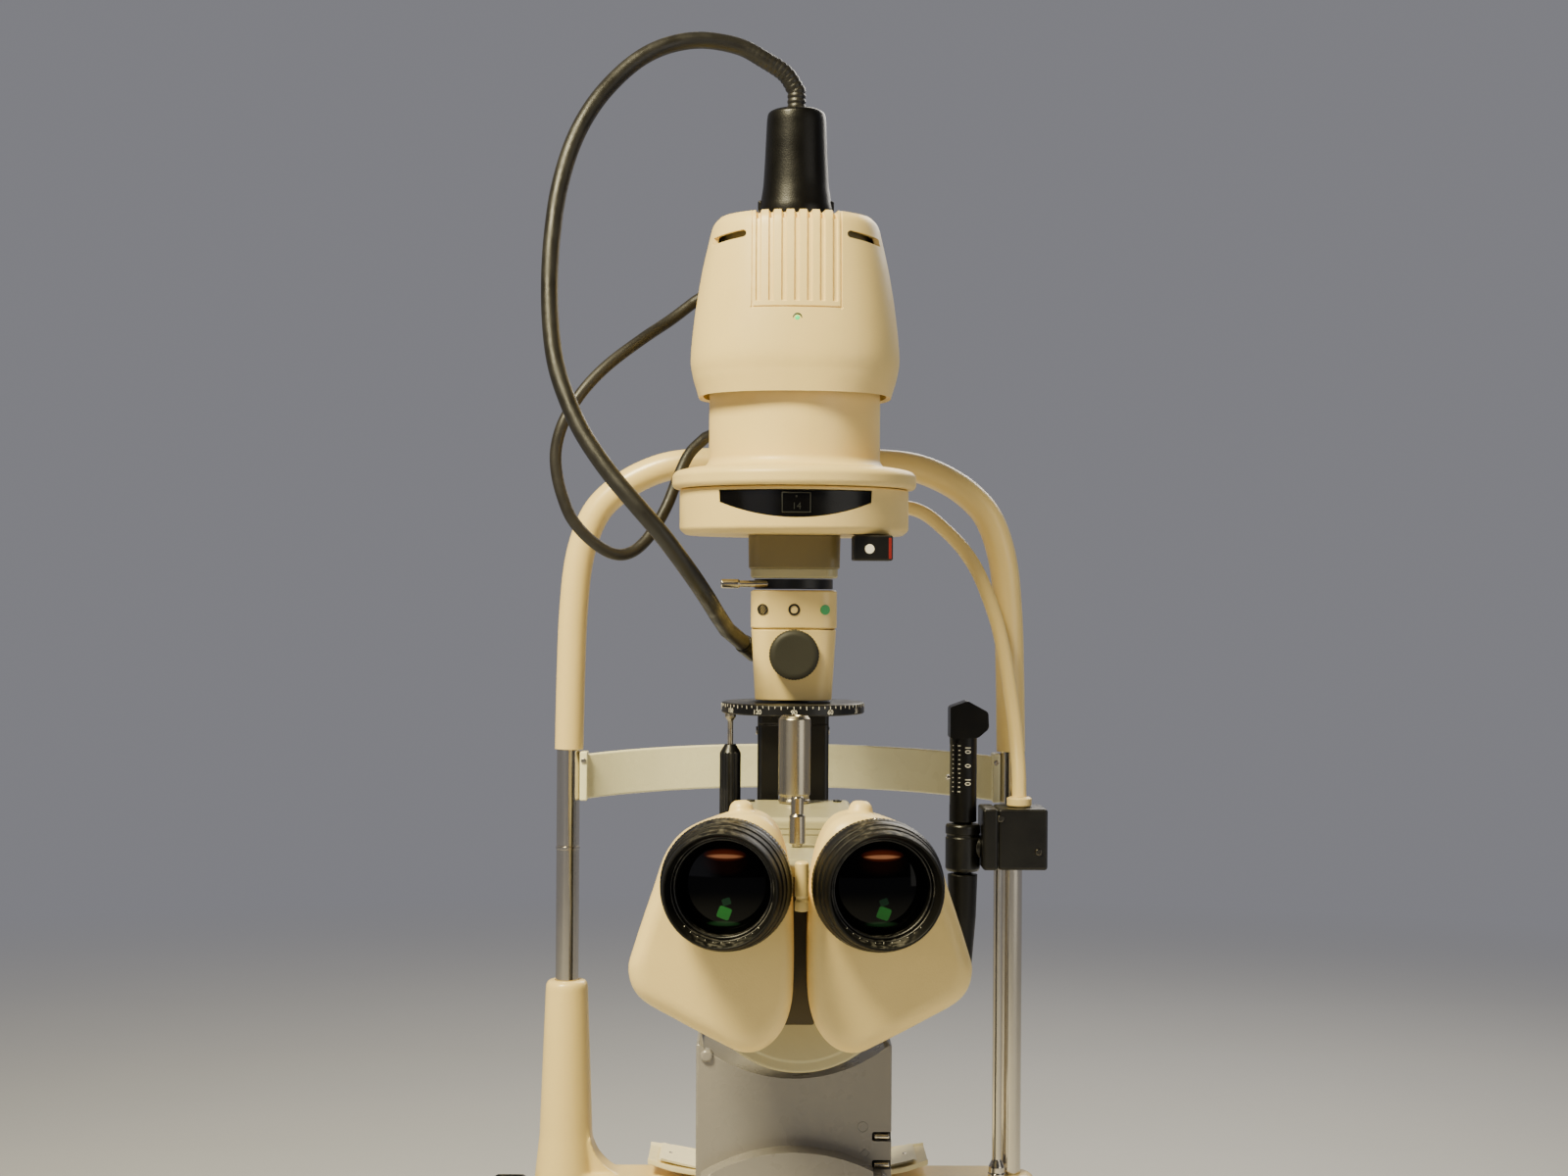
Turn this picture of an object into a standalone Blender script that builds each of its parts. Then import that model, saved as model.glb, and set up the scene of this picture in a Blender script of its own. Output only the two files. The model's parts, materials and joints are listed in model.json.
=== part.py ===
"""A slit lamp: an examiner's microscope and a tilting lamp tower that turn about one upright pivot,
on a base that slides on a table board, with a headrest and a fixation target.

Metres, +Z up. The origin is the middle of the board's underside. The examiner sits at -Y, the patient
at +Y, and +X is the examiner's right. Both arms turn about the upright line through FOCUS."""

import math

import bmesh
import bpy
from mathutils import Matrix, Vector

# ---- driving dimensions -------------------------------------------------------------------------
GAP = 0.0003            # air between two pieces that meet
RUN = 0.0005            # air round a piece that turns or slides

FOCUS = Vector((0.0, 0.170, 0.385))     # the patient's eye: both arms and the tower's tilt turn about it
TOWER_Y = 0.090                         # the lamp tower's upright axis
OPTIC_Z = FOCUS.z                       # the microscope's axis

BOARD = (0.500, 0.450, 0.020)
BOARD_TOP = BOARD[2] + GAP
RAIL_X = 0.185
RAIL_Y = (-0.120, 0.140)
RAIL_TOP = BOARD_TOP + 0.012
WHEEL_R = 0.0155
AXLE_Y = 0.030
AXLE_Z = RAIL_TOP + GAP + WHEEL_R
SLEEVE_R = 0.012

BASE_Z = (0.0235, 0.075)
NOSE_TOP = 0.095
JOYSTICK = Vector((0.0, -0.125, 0.0365))
BALL_R = 0.016
GRIP_Z = (0.1250, 0.2050)
LIFT_R = 0.016
LIFT_Z = (0.045, 0.152)
COLLAR_Z = (0.1105, 0.1145)
SCOPE_HUB_Z = (COLLAR_Z[1] + GAP, 0.1360)
LAMP_HUB_Z = (SCOPE_HUB_Z[1] + GAP, 0.1600)

COLUMN_X = 0.1155
COLUMN_R = 0.0060
ARCH_R = 0.0075
ARCH_FOOT_Z = 0.4507
CROSSBAR_Z = (0.2000, 0.2310)
SLEEVE_TOP = 0.3306
BAND_Z = (0.425, 0.449)
BAND_BOW = 0.040

TARGET_X = 0.088
TARGET_Y = 0.131
TARGET_Z = 0.405

TILT_SEAT_R = 0.2115                    # the tilt guide's radius about FOCUS
MIRROR_COLUMN_W = 0.034
MIRROR_WINDOW = (0.345, 0.460)
RING_Z = (0.4747, 0.4800)
RING_R = 0.0345
BODY_Z = (0.4814, 0.5152)
FILTER_Z = (BODY_Z[1] + GAP, 0.5340)
LEVER_Z = (0.5345, 0.5393)
NECK_Z = (0.5397, 0.5600)
TURRET_Z = (NECK_Z[1] + GAP, 0.5822)
TURRET_R = 0.0553
COVER_Z = (TURRET_Z[1] + GAP, 0.6340)
COVER_R = 0.0413
FLANGE_R = 0.0590
HOUSING_Z = (0.6265, 0.7132)
HOUSING_WALL = 0.0025
PLUG_Z = (HOUSING_Z[1] + GAP, 0.7662)

SCOPE_FRONT_Y = 0.0500                  # the objective's seat
SCOPE_BACK_Y = -0.1075                  # the prism housings' seat
DRUM_R = 0.0408
TOP_PLATE_Z = 0.4365
PRISM_Y = (-0.1400, SCOPE_BACK_Y - GAP)
PRISM_PIVOT_X = 0.018
EYEPIECE = Vector((0.0280, -0.154, 0.425))
EYEPIECE_TOE = math.radians(6.0)
CAMERA_Y = (-0.005, 0.030)
CAMERA_Z = (0.245, 0.3366)
CAMERA_HALF = 0.0431
POST_Y = (CAMERA_Y[1] + GAP, 0.052)

GUIDE_DIAMETER = 0.0080
LEAD_DIAMETER = 0.0058

# The thick light guide: out of the plug, over in a wide loop and down into the tower's left side.
GUIDE_ROUTE = [
    (0.0000, 0.0900, 0.7665), (0.0000, 0.0900, 0.7755), (-0.0055, 0.0885, 0.7835),
    (-0.0159, 0.0860, 0.7898), (-0.0277, 0.0840, 0.7954), (-0.0437, 0.0800, 0.7973),
    (-0.0581, 0.0760, 0.7948), (-0.0718, 0.0710, 0.7880), (-0.0841, 0.0660, 0.7770),
    (-0.0955, 0.0580, 0.7613), (-0.1041, 0.0510, 0.7429), (-0.1100, 0.0460, 0.7214),
    (-0.1127, 0.0410, 0.7001), (-0.1136, 0.0360, 0.6781), (-0.1127, 0.0310, 0.6568),
    (-0.1099, 0.0260, 0.6375), (-0.1046, 0.0210, 0.6214), (-0.0966, 0.0160, 0.6044),
    (-0.0848, 0.0110, 0.5872), (-0.0728, 0.0080, 0.5730), (-0.0597, 0.0090, 0.5578),
    (-0.0484, 0.0170, 0.5425), (-0.0406, 0.0320, 0.5305), (-0.0362, 0.0530, 0.5225),
    (-0.0318, 0.0740, 0.5150), (-0.0246, 0.0880, 0.5085),
]
# The thin lamp lead: out of the lamp housing's rear left, round in a loop and into the cover below it.
LEAD_ROUTE = [
    (-0.0400, 0.1295, 0.6850), (-0.0500, 0.1330, 0.6790), (-0.0620, 0.1280, 0.6690),
    (-0.0757, 0.1170, 0.6580), (-0.0920, 0.1070, 0.6439), (-0.1037, 0.1010, 0.6304),
    (-0.1119, 0.0965, 0.6161), (-0.1157, 0.0960, 0.6033), (-0.1157, 0.0960, 0.5918),
    (-0.1128, 0.0960, 0.5794), (-0.1076, 0.0960, 0.5675), (-0.0986, 0.0980, 0.5575),
    (-0.0883, 0.1010, 0.5513), (-0.0800, 0.1060, 0.5519), (-0.0726, 0.1110, 0.5582),
    (-0.0665, 0.1160, 0.5681), (-0.0620, 0.1200, 0.5775), (-0.0575, 0.1240, 0.5900),
    (-0.0520, 0.1265, 0.6020), (-0.0440, 0.1250, 0.6100), (-0.0365, 0.1200, 0.6130),
]

AXES = {
    "X": Matrix.Rotation(math.radians(90), 4, "Y"),
    "Y": Matrix.Rotation(math.radians(-90), 4, "X"),
    "Z": Matrix.Identity(4),
}


# ---- scene, materials and bodies ----------------------------------------------------------------
def clear_scene():
    for obj in list(bpy.data.objects):
        bpy.data.objects.remove(obj, do_unlink=True)


def new_collection(name):
    collection = bpy.data.collections.new(name)
    bpy.context.scene.collection.children.link(collection)
    return collection


clear_scene()
PARTS = new_collection("slit_lamp")
CUTTERS = new_collection("cutters")
BODIES = {}


def material(name, colour, roughness, metallic=0.0):
    made = bpy.data.materials.new(name)
    made.use_nodes = True
    shader = made.node_tree.nodes["Principled BSDF"]
    shader.inputs["Base Color"].default_value = (*colour, 1.0)
    shader.inputs["Roughness"].default_value = roughness
    shader.inputs["Metallic"].default_value = metallic
    return made


FINISHES = {
    "cream": ((0.80, 0.72, 0.50), 0.42, 0.0),
    "shade_cream": ((0.62, 0.57, 0.40), 0.45, 0.0),
    "pale_band": ((0.76, 0.78, 0.62), 0.40, 0.0),
    "grey": ((0.31, 0.30, 0.29), 0.35, 0.2),
    "black": ((0.012, 0.011, 0.010), 0.45, 0.0),
    "soft_black": ((0.016, 0.015, 0.013), 0.75, 0.0),
    "steel": ((0.60, 0.58, 0.54), 0.25, 1.0),
    "chrome": ((0.75, 0.75, 0.76), 0.08, 1.0),
    "board": ((0.70, 0.68, 0.62), 0.55, 0.0),
    "glass": ((0.03, 0.04, 0.04), 0.05, 0.0),
    "paper": ((0.85, 0.82, 0.70), 0.80, 0.0),
}


def body(name, place, parent=None):
    """An empty on a joint's axis. Everything that moves about that joint hangs on it."""
    empty = bpy.data.objects.new(f"{name}_joint", None)
    empty.empty_display_size = 0.02
    PARTS.objects.link(empty)
    BODIES[name] = (empty, Vector(place))
    if parent:
        empty.parent = BODIES[parent][0]
        empty.location = Vector(place) - BODIES[parent][1]
    else:
        empty.location = place


def finish(obj, name, look, on=None):
    """Makes a shape one of the part's pieces: its name, its own material and the body it hangs on."""
    colour, roughness, metallic = FINISHES[look]
    obj.name = name
    obj.data.name = name
    obj.data.materials.clear()
    obj.data.materials.append(material(name, colour, roughness, metallic))
    CUTTERS.objects.unlink(obj)
    PARTS.objects.link(obj)
    obj.hide_render = False
    obj.display_type = "TEXTURED"
    if on:
        empty, place = BODIES[on]
        obj.parent = empty
        obj.location = obj.location - place
    return obj


# ---- shapes -------------------------------------------------------------------------------------
def shape(mesh, place=(0, 0, 0)):
    """A mesh as a hidden wire guide, until finish() makes it a piece."""
    obj = bpy.data.objects.new("guide", mesh)
    obj.location = place
    obj.hide_render = True
    obj.display_type = "WIRE"
    CUTTERS.objects.link(obj)
    return obj


def mesh_from(work):
    mesh = bpy.data.meshes.new("guide")
    work.to_mesh(mesh)
    work.free()
    return mesh


def bevel(obj, width, segments=2, angle=40):
    step = obj.modifiers.new("edges", "BEVEL")
    step.width = width
    step.segments = segments
    step.limit_method = "ANGLE"
    step.angle_limit = math.radians(angle)
    return obj


def block(low, high, edge=0.0, segments=2):
    """A box between two corners, with rounded edges where an edge radius is given."""
    low = Vector(low)
    high = Vector(high)
    work = bmesh.new()
    bmesh.ops.create_cube(work, size=1.0)
    bmesh.ops.scale(work, vec=high - low, verts=work.verts)
    obj = shape(mesh_from(work), (low + high) / 2)
    if edge:
        bevel(obj, edge, segments)
    return obj


def cylinder(centre, radius, length, axis="Z", sides=20, edge=0.0):
    """A cylinder about its middle, with rounded rims where an edge radius is given."""
    work = bmesh.new()
    bmesh.ops.create_cone(
        work, cap_ends=True, segments=sides, radius1=radius, radius2=radius, depth=length
    )
    bmesh.ops.transform(work, matrix=AXES[axis], verts=work.verts)
    obj = shape(mesh_from(work), centre)
    if edge:
        bevel(obj, edge, 1)
    return obj


def turned(profile, place=(0, 0, 0), steps=24, closed=False):
    """A solid of revolution about Z. The profile of (radius, height) runs down its outer side. It is
    closed for a ring, and else it starts and ends on the axis."""
    mesh = bpy.data.meshes.new("guide")
    points = [(radius, 0.0, height) for radius, height in profile]
    edges = [(i, i + 1) for i in range(len(points) - 1)]
    if closed:
        edges.append((len(points) - 1, 0))
    mesh.from_pydata(points, edges, [])
    obj = shape(mesh, place)
    step = obj.modifiers.new("turn", "SCREW")
    step.steps = steps
    step.render_steps = steps
    step.use_merge_vertices = True
    step.merge_threshold = 0.00001
    return obj


def plate(outline, thickness, place=(0, 0, 0), turn=None):
    """A flat outline in XY, extruded equally both ways along its own Z, made a mesh."""
    curve = bpy.data.curves.new("guide", "CURVE")
    curve.dimensions = "2D"
    curve.fill_mode = "BOTH"
    curve.extrude = thickness / 2
    spline = curve.splines.new("POLY")
    spline.points.add(len(outline) - 1)
    for point, (x, y) in zip(spline.points, outline):
        point.co = (x, y, 0.0, 1.0)
    spline.use_cyclic_u = True
    return welded_mesh(curve, place, turn or Matrix.Identity(4))


def welded_mesh(curve, place, turn):
    """The evaluated curve as one mesh with its caps welded on."""
    source = bpy.data.objects.new("guide", curve)
    CUTTERS.objects.link(source)
    graph = bpy.context.evaluated_depsgraph_get()
    mesh = bpy.data.meshes.new_from_object(source.evaluated_get(graph))
    bpy.data.objects.remove(source, do_unlink=True)
    work = bmesh.new()
    work.from_mesh(mesh)
    bmesh.ops.remove_doubles(work, verts=work.verts, dist=0.000005)
    bmesh.ops.recalc_face_normals(work, faces=work.faces)
    bmesh.ops.transform(work, matrix=turn, verts=work.verts)
    work.to_mesh(mesh)
    work.free()
    return shape(mesh, place)


def tube(points, radius, rings=4):
    """A round bar along points, as a curve with filled caps."""
    curve = bpy.data.curves.new("guide", "CURVE")
    curve.dimensions = "3D"
    curve.bevel_depth = radius
    curve.bevel_resolution = rings
    curve.use_fill_caps = True
    spline = curve.splines.new("POLY")
    spline.points.add(len(points) - 1)
    for point, place in zip(spline.points, points):
        point.co = (*place, 1.0)
    obj = bpy.data.objects.new("guide", curve)
    CUTTERS.objects.link(obj)
    return obj


def boolean(obj, other, operation):
    step = obj.modifiers.new(operation.lower(), "BOOLEAN")
    step.operation = operation
    step.solver = "EXACT"
    step.object = other
    return obj


def join(obj, *others):
    for other in others:
        boolean(obj, other, "UNION")
    return obj


def cut(obj, *others):
    for other in others:
        boolean(obj, other, "DIFFERENCE")
    return obj


def catmull(before, start, end, after, t):
    """A point between start and end on the smooth curve through all four."""
    return 0.5 * (
        2 * start + (end - before) * t
        + (2 * before - 5 * start + 4 * end - after) * t ** 2
        + (3 * start - before - 3 * end + after) * t ** 3
    )


def smooth_route(points, step, leads=False):
    """Points about a step apart on a smooth curve through all the given ones. With leads, the first
    and the last stretch stay straight, so that a cord meets its glands squarely."""
    knots = [Vector(point) for point in points]
    spans = list(zip(knots, knots[1:], knots[2:], knots[3:]))
    if not leads:
        first = (2 * knots[0] - knots[1], *knots[:3])
        last = (*knots[-3:], 2 * knots[-1] - knots[-2])
        spans = [first, *spans, last]
    fine = [catmull(*span, k / 12) for span in spans for k in range(12)]
    fine.append(spans[-1][2])
    length = sum((b - a).length for a, b in zip(fine, fine[1:]))
    count = max(2, round(length / step))
    spaced = [fine[0]]
    walked = 0.0
    for a, b in zip(fine, fine[1:]):
        walked += (b - a).length
        while len(spaced) < count and walked >= length * len(spaced) / count:
            spaced.append(b)
    spaced.append(fine[-1])
    return [knots[0], *spaced, knots[-1]] if leads else spaced


def arc(centre, radius, start, end, count):
    """Points in a plane on an arc between two angles in degrees, ends included."""
    found = []
    for i in range(count + 1):
        angle = math.radians(start + (end - start) * i / count)
        found.append((centre[0] + radius * math.cos(angle), centre[1] + radius * math.sin(angle)))
    return found


def mirrored(outline):
    return [(-x, y) for x, y in reversed(outline)]


FACING = Matrix.Rotation(math.radians(90), 4, "X")      # an XY outline stood up in XZ


def gland(tip, inward, radius, length):
    """A round boss whose flat face meets a cord's end at tip."""
    inward = Vector(inward).normalized()
    work = bmesh.new()
    bmesh.ops.create_cone(
        work, cap_ends=True, segments=16, radius1=radius, radius2=radius, depth=length
    )
    turn = inward.to_track_quat("Z", "Y").to_matrix().to_4x4()
    bmesh.ops.transform(work, matrix=turn, verts=work.verts)
    return shape(mesh_from(work), Vector(tip) + inward * (GAP + length / 2))


def route_end(route, last=True):
    """A route's end point and the direction in which the cord runs into its gland there."""
    end, before = (route[-1], route[-2]) if last else (route[0], route[1])
    return Vector(end), Vector(end) - Vector(before)


# ---- board, rails and headrest ------------------------------------------------------------------
def make_board():
    width, depth, height = BOARD
    finish(block((-width / 2, -depth / 2, 0), (width / 2, depth / 2, height), 0.004), "base_board", "board")
    for side, name in ((-1, "rail_left"), (1, "rail_right")):
        x = side * RAIL_X
        bed = block((x - 0.018, RAIL_Y[0], BOARD_TOP), (x + 0.018, RAIL_Y[1], BOARD_TOP + 0.006), 0.001, 1)
        rack = block(
            (x - 0.008, RAIL_Y[0] + 0.006, BOARD_TOP + 0.004), (x + 0.008, RAIL_Y[1] - 0.006, RAIL_TOP)
        )
        stops = [
            block((x - 0.015, y - 0.003, BOARD_TOP + 0.004), (x + 0.015, y + 0.003, RAIL_TOP + 0.006))
            for y in (RAIL_Y[0] + 0.006, RAIL_Y[1] - 0.006)
        ]
        finish(join(bed, rack, *stops), name, "steel")


def make_headrest():
    y = FOCUS.y
    outline = arc((-COLUMN_X, 0), 0.013, 90, 270, 6) + arc((COLUMN_X, 0), 0.013, -90, 90, 6)
    bar = plate(outline, CROSSBAR_Z[1] - CROSSBAR_Z[0], (0, y, sum(CROSSBAR_Z) / 2))
    bevel(bar, 0.004)
    left = turned([
        (0, SLEEVE_TOP), (0.0092, SLEEVE_TOP), (0.0109, SLEEVE_TOP - 0.002), (0.0138, 0.250),
        (0.0165, 0.225), (0.0175, 0.190), (0.0175, 0.045), (0.024, 0.036), (0.024, BOARD_TOP), (0, BOARD_TOP),
    ], (-COLUMN_X, y, 0), 20)
    right = turned([
        (0, 0.215), (0.0125, 0.215), (0.0165, 0.190), (0.0175, 0.170), (0.0175, 0.045), (0.024, 0.036),
        (0.024, BOARD_TOP), (0, BOARD_TOP),
    ], (COLUMN_X, y, 0), 20)
    corner = (-COLUMN_X + 0.0105, CROSSBAR_Z[1] - 0.004)
    fillet = [corner] + arc((corner[0] + 0.026, corner[1] + 0.026), 0.0235, 180, 270, 6)
    web = plate(fillet, 0.016, (0, y, 0), FACING)
    frame = join(bar, left, right, web)
    bore = cylinder((-COLUMN_X, y, 0.3160), COLUMN_R + GAP, 0.032)
    stem_way = cylinder((0, y, 0.215), 0.0065, 0.04)
    knob_way = cylinder((-COLUMN_X, y, 0.215), 0.0040, 0.060, "X", 16)
    finish(cut(frame, bore, stem_way, knob_way), "headrest_frame", "cream")

    for side, name, foot in ((-1, "left_column", 0.3004), (1, "right_column", CROSSBAR_Z[1] + GAP)):
        top = ARCH_FOOT_Z - GAP
        column = cylinder((side * COLUMN_X, y, (foot + top) / 2), COLUMN_R, top - foot)
        if side < 0:
            join(column, turned([
                (0, 0.4005), (COLUMN_R + 0.0004, 0.4005), (COLUMN_R + 0.0004, 0.3985), (0, 0.3985),
            ], (side * COLUMN_X, y, 0), 20))
        finish(column, name, "chrome")

    half = [(0.1155, ARCH_FOOT_Z), (0.1148, 0.490), (0.1133, 0.522), (0.1103, 0.550), (0.1033, 0.571),
            (0.0925, 0.5838), (0.0770, 0.5935), (0.0590, 0.5990), (0.0300, 0.6005)]
    points = [(-x, y, z) for x, z in half] + [(x, y, z) for x, z in reversed(half)]
    finish(tube(smooth_route(points, 0.022), ARCH_R, 3), "headrest_arch", "cream")

    rod = turned([
        (0, 0.420), (0.0025, 0.420), (0.0025, 0.240), (0.0042, 0.236), (0.0046, CROSSBAR_Z[1] + GAP),
        (0, CROSSBAR_Z[1] + GAP),
    ], (0.1080, 0.1605, 0), 16)
    finish(rod, "guide_rod", "chrome")
    make_band()


def make_band():
    """The forehead band: a strip that bows away from the examiner, with a tab against each column."""
    half = COLUMN_X - COLUMN_R - GAP - 0.0015
    radius = (half ** 2 + BAND_BOW ** 2) / (2 * BAND_BOW)
    sweep = math.degrees(math.asin(half / radius))
    centre = (0, BAND_BOW - radius)
    outer = arc(centre, radius + 0.0015, 90 - sweep, 90 + sweep, 14)
    inner = arc(centre, radius - 0.0015, 90 + sweep, 90 - sweep, 14)
    strip = plate(outer + inner, BAND_Z[1] - BAND_Z[0], (0, FOCUS.y, sum(BAND_Z) / 2))
    for side in (-1, 1):
        column_side = side * (COLUMN_X - COLUMN_R - GAP)
        inside = column_side - side * 0.0036
        tab = block(
            (min(inside, column_side), FOCUS.y - 0.0048, BAND_Z[0] - 0.001),
            (max(inside, column_side), FOCUS.y + 0.0048, BAND_Z[1] + 0.0005),
        )
        join(strip, tab)
    finish(strip, "forehead_band", "pale_band")


def make_chinrest():
    body("chin", (0, FOCUS.y, CROSSBAR_Z[1]))
    top = [(0.073, 0.2405), (0.050, 0.2372), (0.025, 0.2362)]
    under = [(0.071, 0.2355), (0.050, 0.2335), (0.030, 0.2325)]
    outline = [(-x, z) for x, z in top] + [(0.0, 0.2357)] + top[::-1] + under
    outline += [(-x, z) for x, z in under[::-1]]
    cup = plate(outline, 0.044, (0, FOCUS.y + 0.006, 0), FACING)
    bevel(cup, 0.001, 1)
    join(cup, cylinder((0, FOCUS.y, 0.2150), 0.0060, 0.038))
    finish(cup, "chinrest", "paper", "chin")
    place = Vector((-COLUMN_X, FOCUS.y, 0.215))
    body("chin_knob", place)
    knob = cylinder(place - Vector((0.0290, 0, 0)), 0.0135, 0.017, "X", 24, 0.002)
    join(knob, cylinder(place - Vector((0.010, 0, 0)), 0.0034, 0.030, "X", 16))
    finish(knob, "chin_height_knob", "black", "chin_knob")


# ---- fixation target ----------------------------------------------------------------------------
def make_fixation():
    y = FOCUS.y
    bracket = block((-0.008, y - 0.008, 0.5770), (0.008, y + 0.008, 0.5925), 0.001, 1)
    finish(bracket, "fixation_bracket", "black")

    body("fixation_arm", (0, y, 0.571))
    route = [(0.000, y, 0.5705), (0.030, y - 0.001, 0.5765), (0.0620, y - 0.004, 0.5768),
             (0.0802, y - 0.006, 0.5650), (0.0943, y - 0.009, 0.5477), (0.1037, y - 0.014, 0.5249),
             (0.1085, y - 0.019, 0.5054), (0.1120, y - 0.024, 0.4820), (0.1143, y - 0.0300, 0.4600),
             (0.1150, y - 0.0365, 0.4420), (0.1150, TARGET_Y, 0.4300)]
    bar = tube(smooth_route(route, 0.012), 0.00365, 2)
    arm = welded_mesh(bar.data, (0, 0, 0), Matrix.Identity(4))
    bpy.data.objects.remove(bar, do_unlink=True)
    join(arm, cylinder((0, y, 0.5710), 0.0060, 0.0110, sides=16))
    join(arm, cylinder((0.1150, TARGET_Y, 0.4295), 0.0063, 0.0074, sides=16))
    finish(arm, "fixation_arm", "cream", "fixation_arm")

    body("fixation_box", (0.115, TARGET_Y, 0.41), "fixation_arm")
    box = block((0.0955, TARGET_Y - 0.013, 0.3950), (0.1280, TARGET_Y + 0.014, 0.4255), 0.0015)
    for z in (0.4040, 0.4165):
        join(box, cylinder((0.1235, TARGET_Y - 0.0132, z), 0.0016, 0.0012, "Y", 12))
    finish(box, "fixation_box", "black", "fixation_box")

    body("target_clamp", (TARGET_X, TARGET_Y, TARGET_Z), "fixation_box")
    clamp = cylinder((TARGET_X - 0.0014, TARGET_Y, TARGET_Z), 0.0087, 0.0236, sides=20, edge=0.001)
    join(clamp, cylinder((0.0942, TARGET_Y, TARGET_Z), 0.0060, 0.0018, "X", 20))
    cut(clamp, cylinder((TARGET_X - 0.0014, TARGET_Y, TARGET_Z), 0.0050, 0.03, sides=20))
    finish(clamp, "target_clamp", "black", "target_clamp")

    body("target_tube", (TARGET_X - 0.0014, TARGET_Y, TARGET_Z), "target_clamp")
    axis = (TARGET_X - 0.0014, TARGET_Y, 0)
    target = turned([
        (0, 0.4630), (0.00685, 0.4630), (0.00685, 0.4180), (0.0045, 0.4176), (0.0045, 0.3920),
        (0.0075, 0.3915), (0.0068, 0.3700), (0.0048, 0.3455), (0, 0.3455),
    ], axis, 24)
    hood = plate([(-0.006, 0.0), (0.0065, 0.0), (0.0125, 0.005), (0.0135, 0.012), (0.008, 0.0195),
                  (-0.002, 0.0195), (-0.006, 0.014)], 0.015, (TARGET_X - 0.0014, TARGET_Y, 0.4600), FACING)
    slot = block((TARGET_X - 0.0120, TARGET_Y - 0.002, 0.4270), (TARGET_X - 0.0062, TARGET_Y + 0.002, 0.4570))
    finish(cut(join(target, hood), slot), "target_tube", "soft_black", "target_tube")

    body("diopter_pin", (TARGET_X - 0.0065, TARGET_Y, 0.4400), "target_tube")
    pin = cylinder((TARGET_X - 0.0082, TARGET_Y, 0.4400), 0.0013, 0.0034, "X", 12)
    finish(pin, "diopter_pin", "chrome", "diopter_pin")


# ---- cross slide, base and joystick -------------------------------------------------------------
def make_cross_slide():
    body("cross_slide", (0, AXLE_Y, AXLE_Z))
    profile = [(0.0068, 0.165), (SLEEVE_R, 0.165), (SLEEVE_R, -0.165), (0.0068, -0.165)]
    sleeve = turned(profile, steps=20, closed=True)
    sleeve.rotation_euler = (0, math.radians(90), 0)
    sleeve.location = (0, AXLE_Y, AXLE_Z)
    finish(sleeve, "cross_tube", "steel", "cross_slide")
    body("axle", (0, AXLE_Y, AXLE_Z), "cross_slide")
    profile = [(0, 0.1945), (0.0125, 0.1945), (WHEEL_R, 0.1925), (WHEEL_R, 0.1775), (0.0125, 0.1755)]
    profile += [(0.0062, 0.1755), (0.0062, -0.1755)] + [(r, -x) for r, x in reversed(profile)]
    axle = turned(profile, steps=20)
    axle.rotation_euler = (0, math.radians(90), 0)
    axle.location = (0, AXLE_Y, AXLE_Z)
    finish(axle, "wheel_axle", "steel", "axle")


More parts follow.
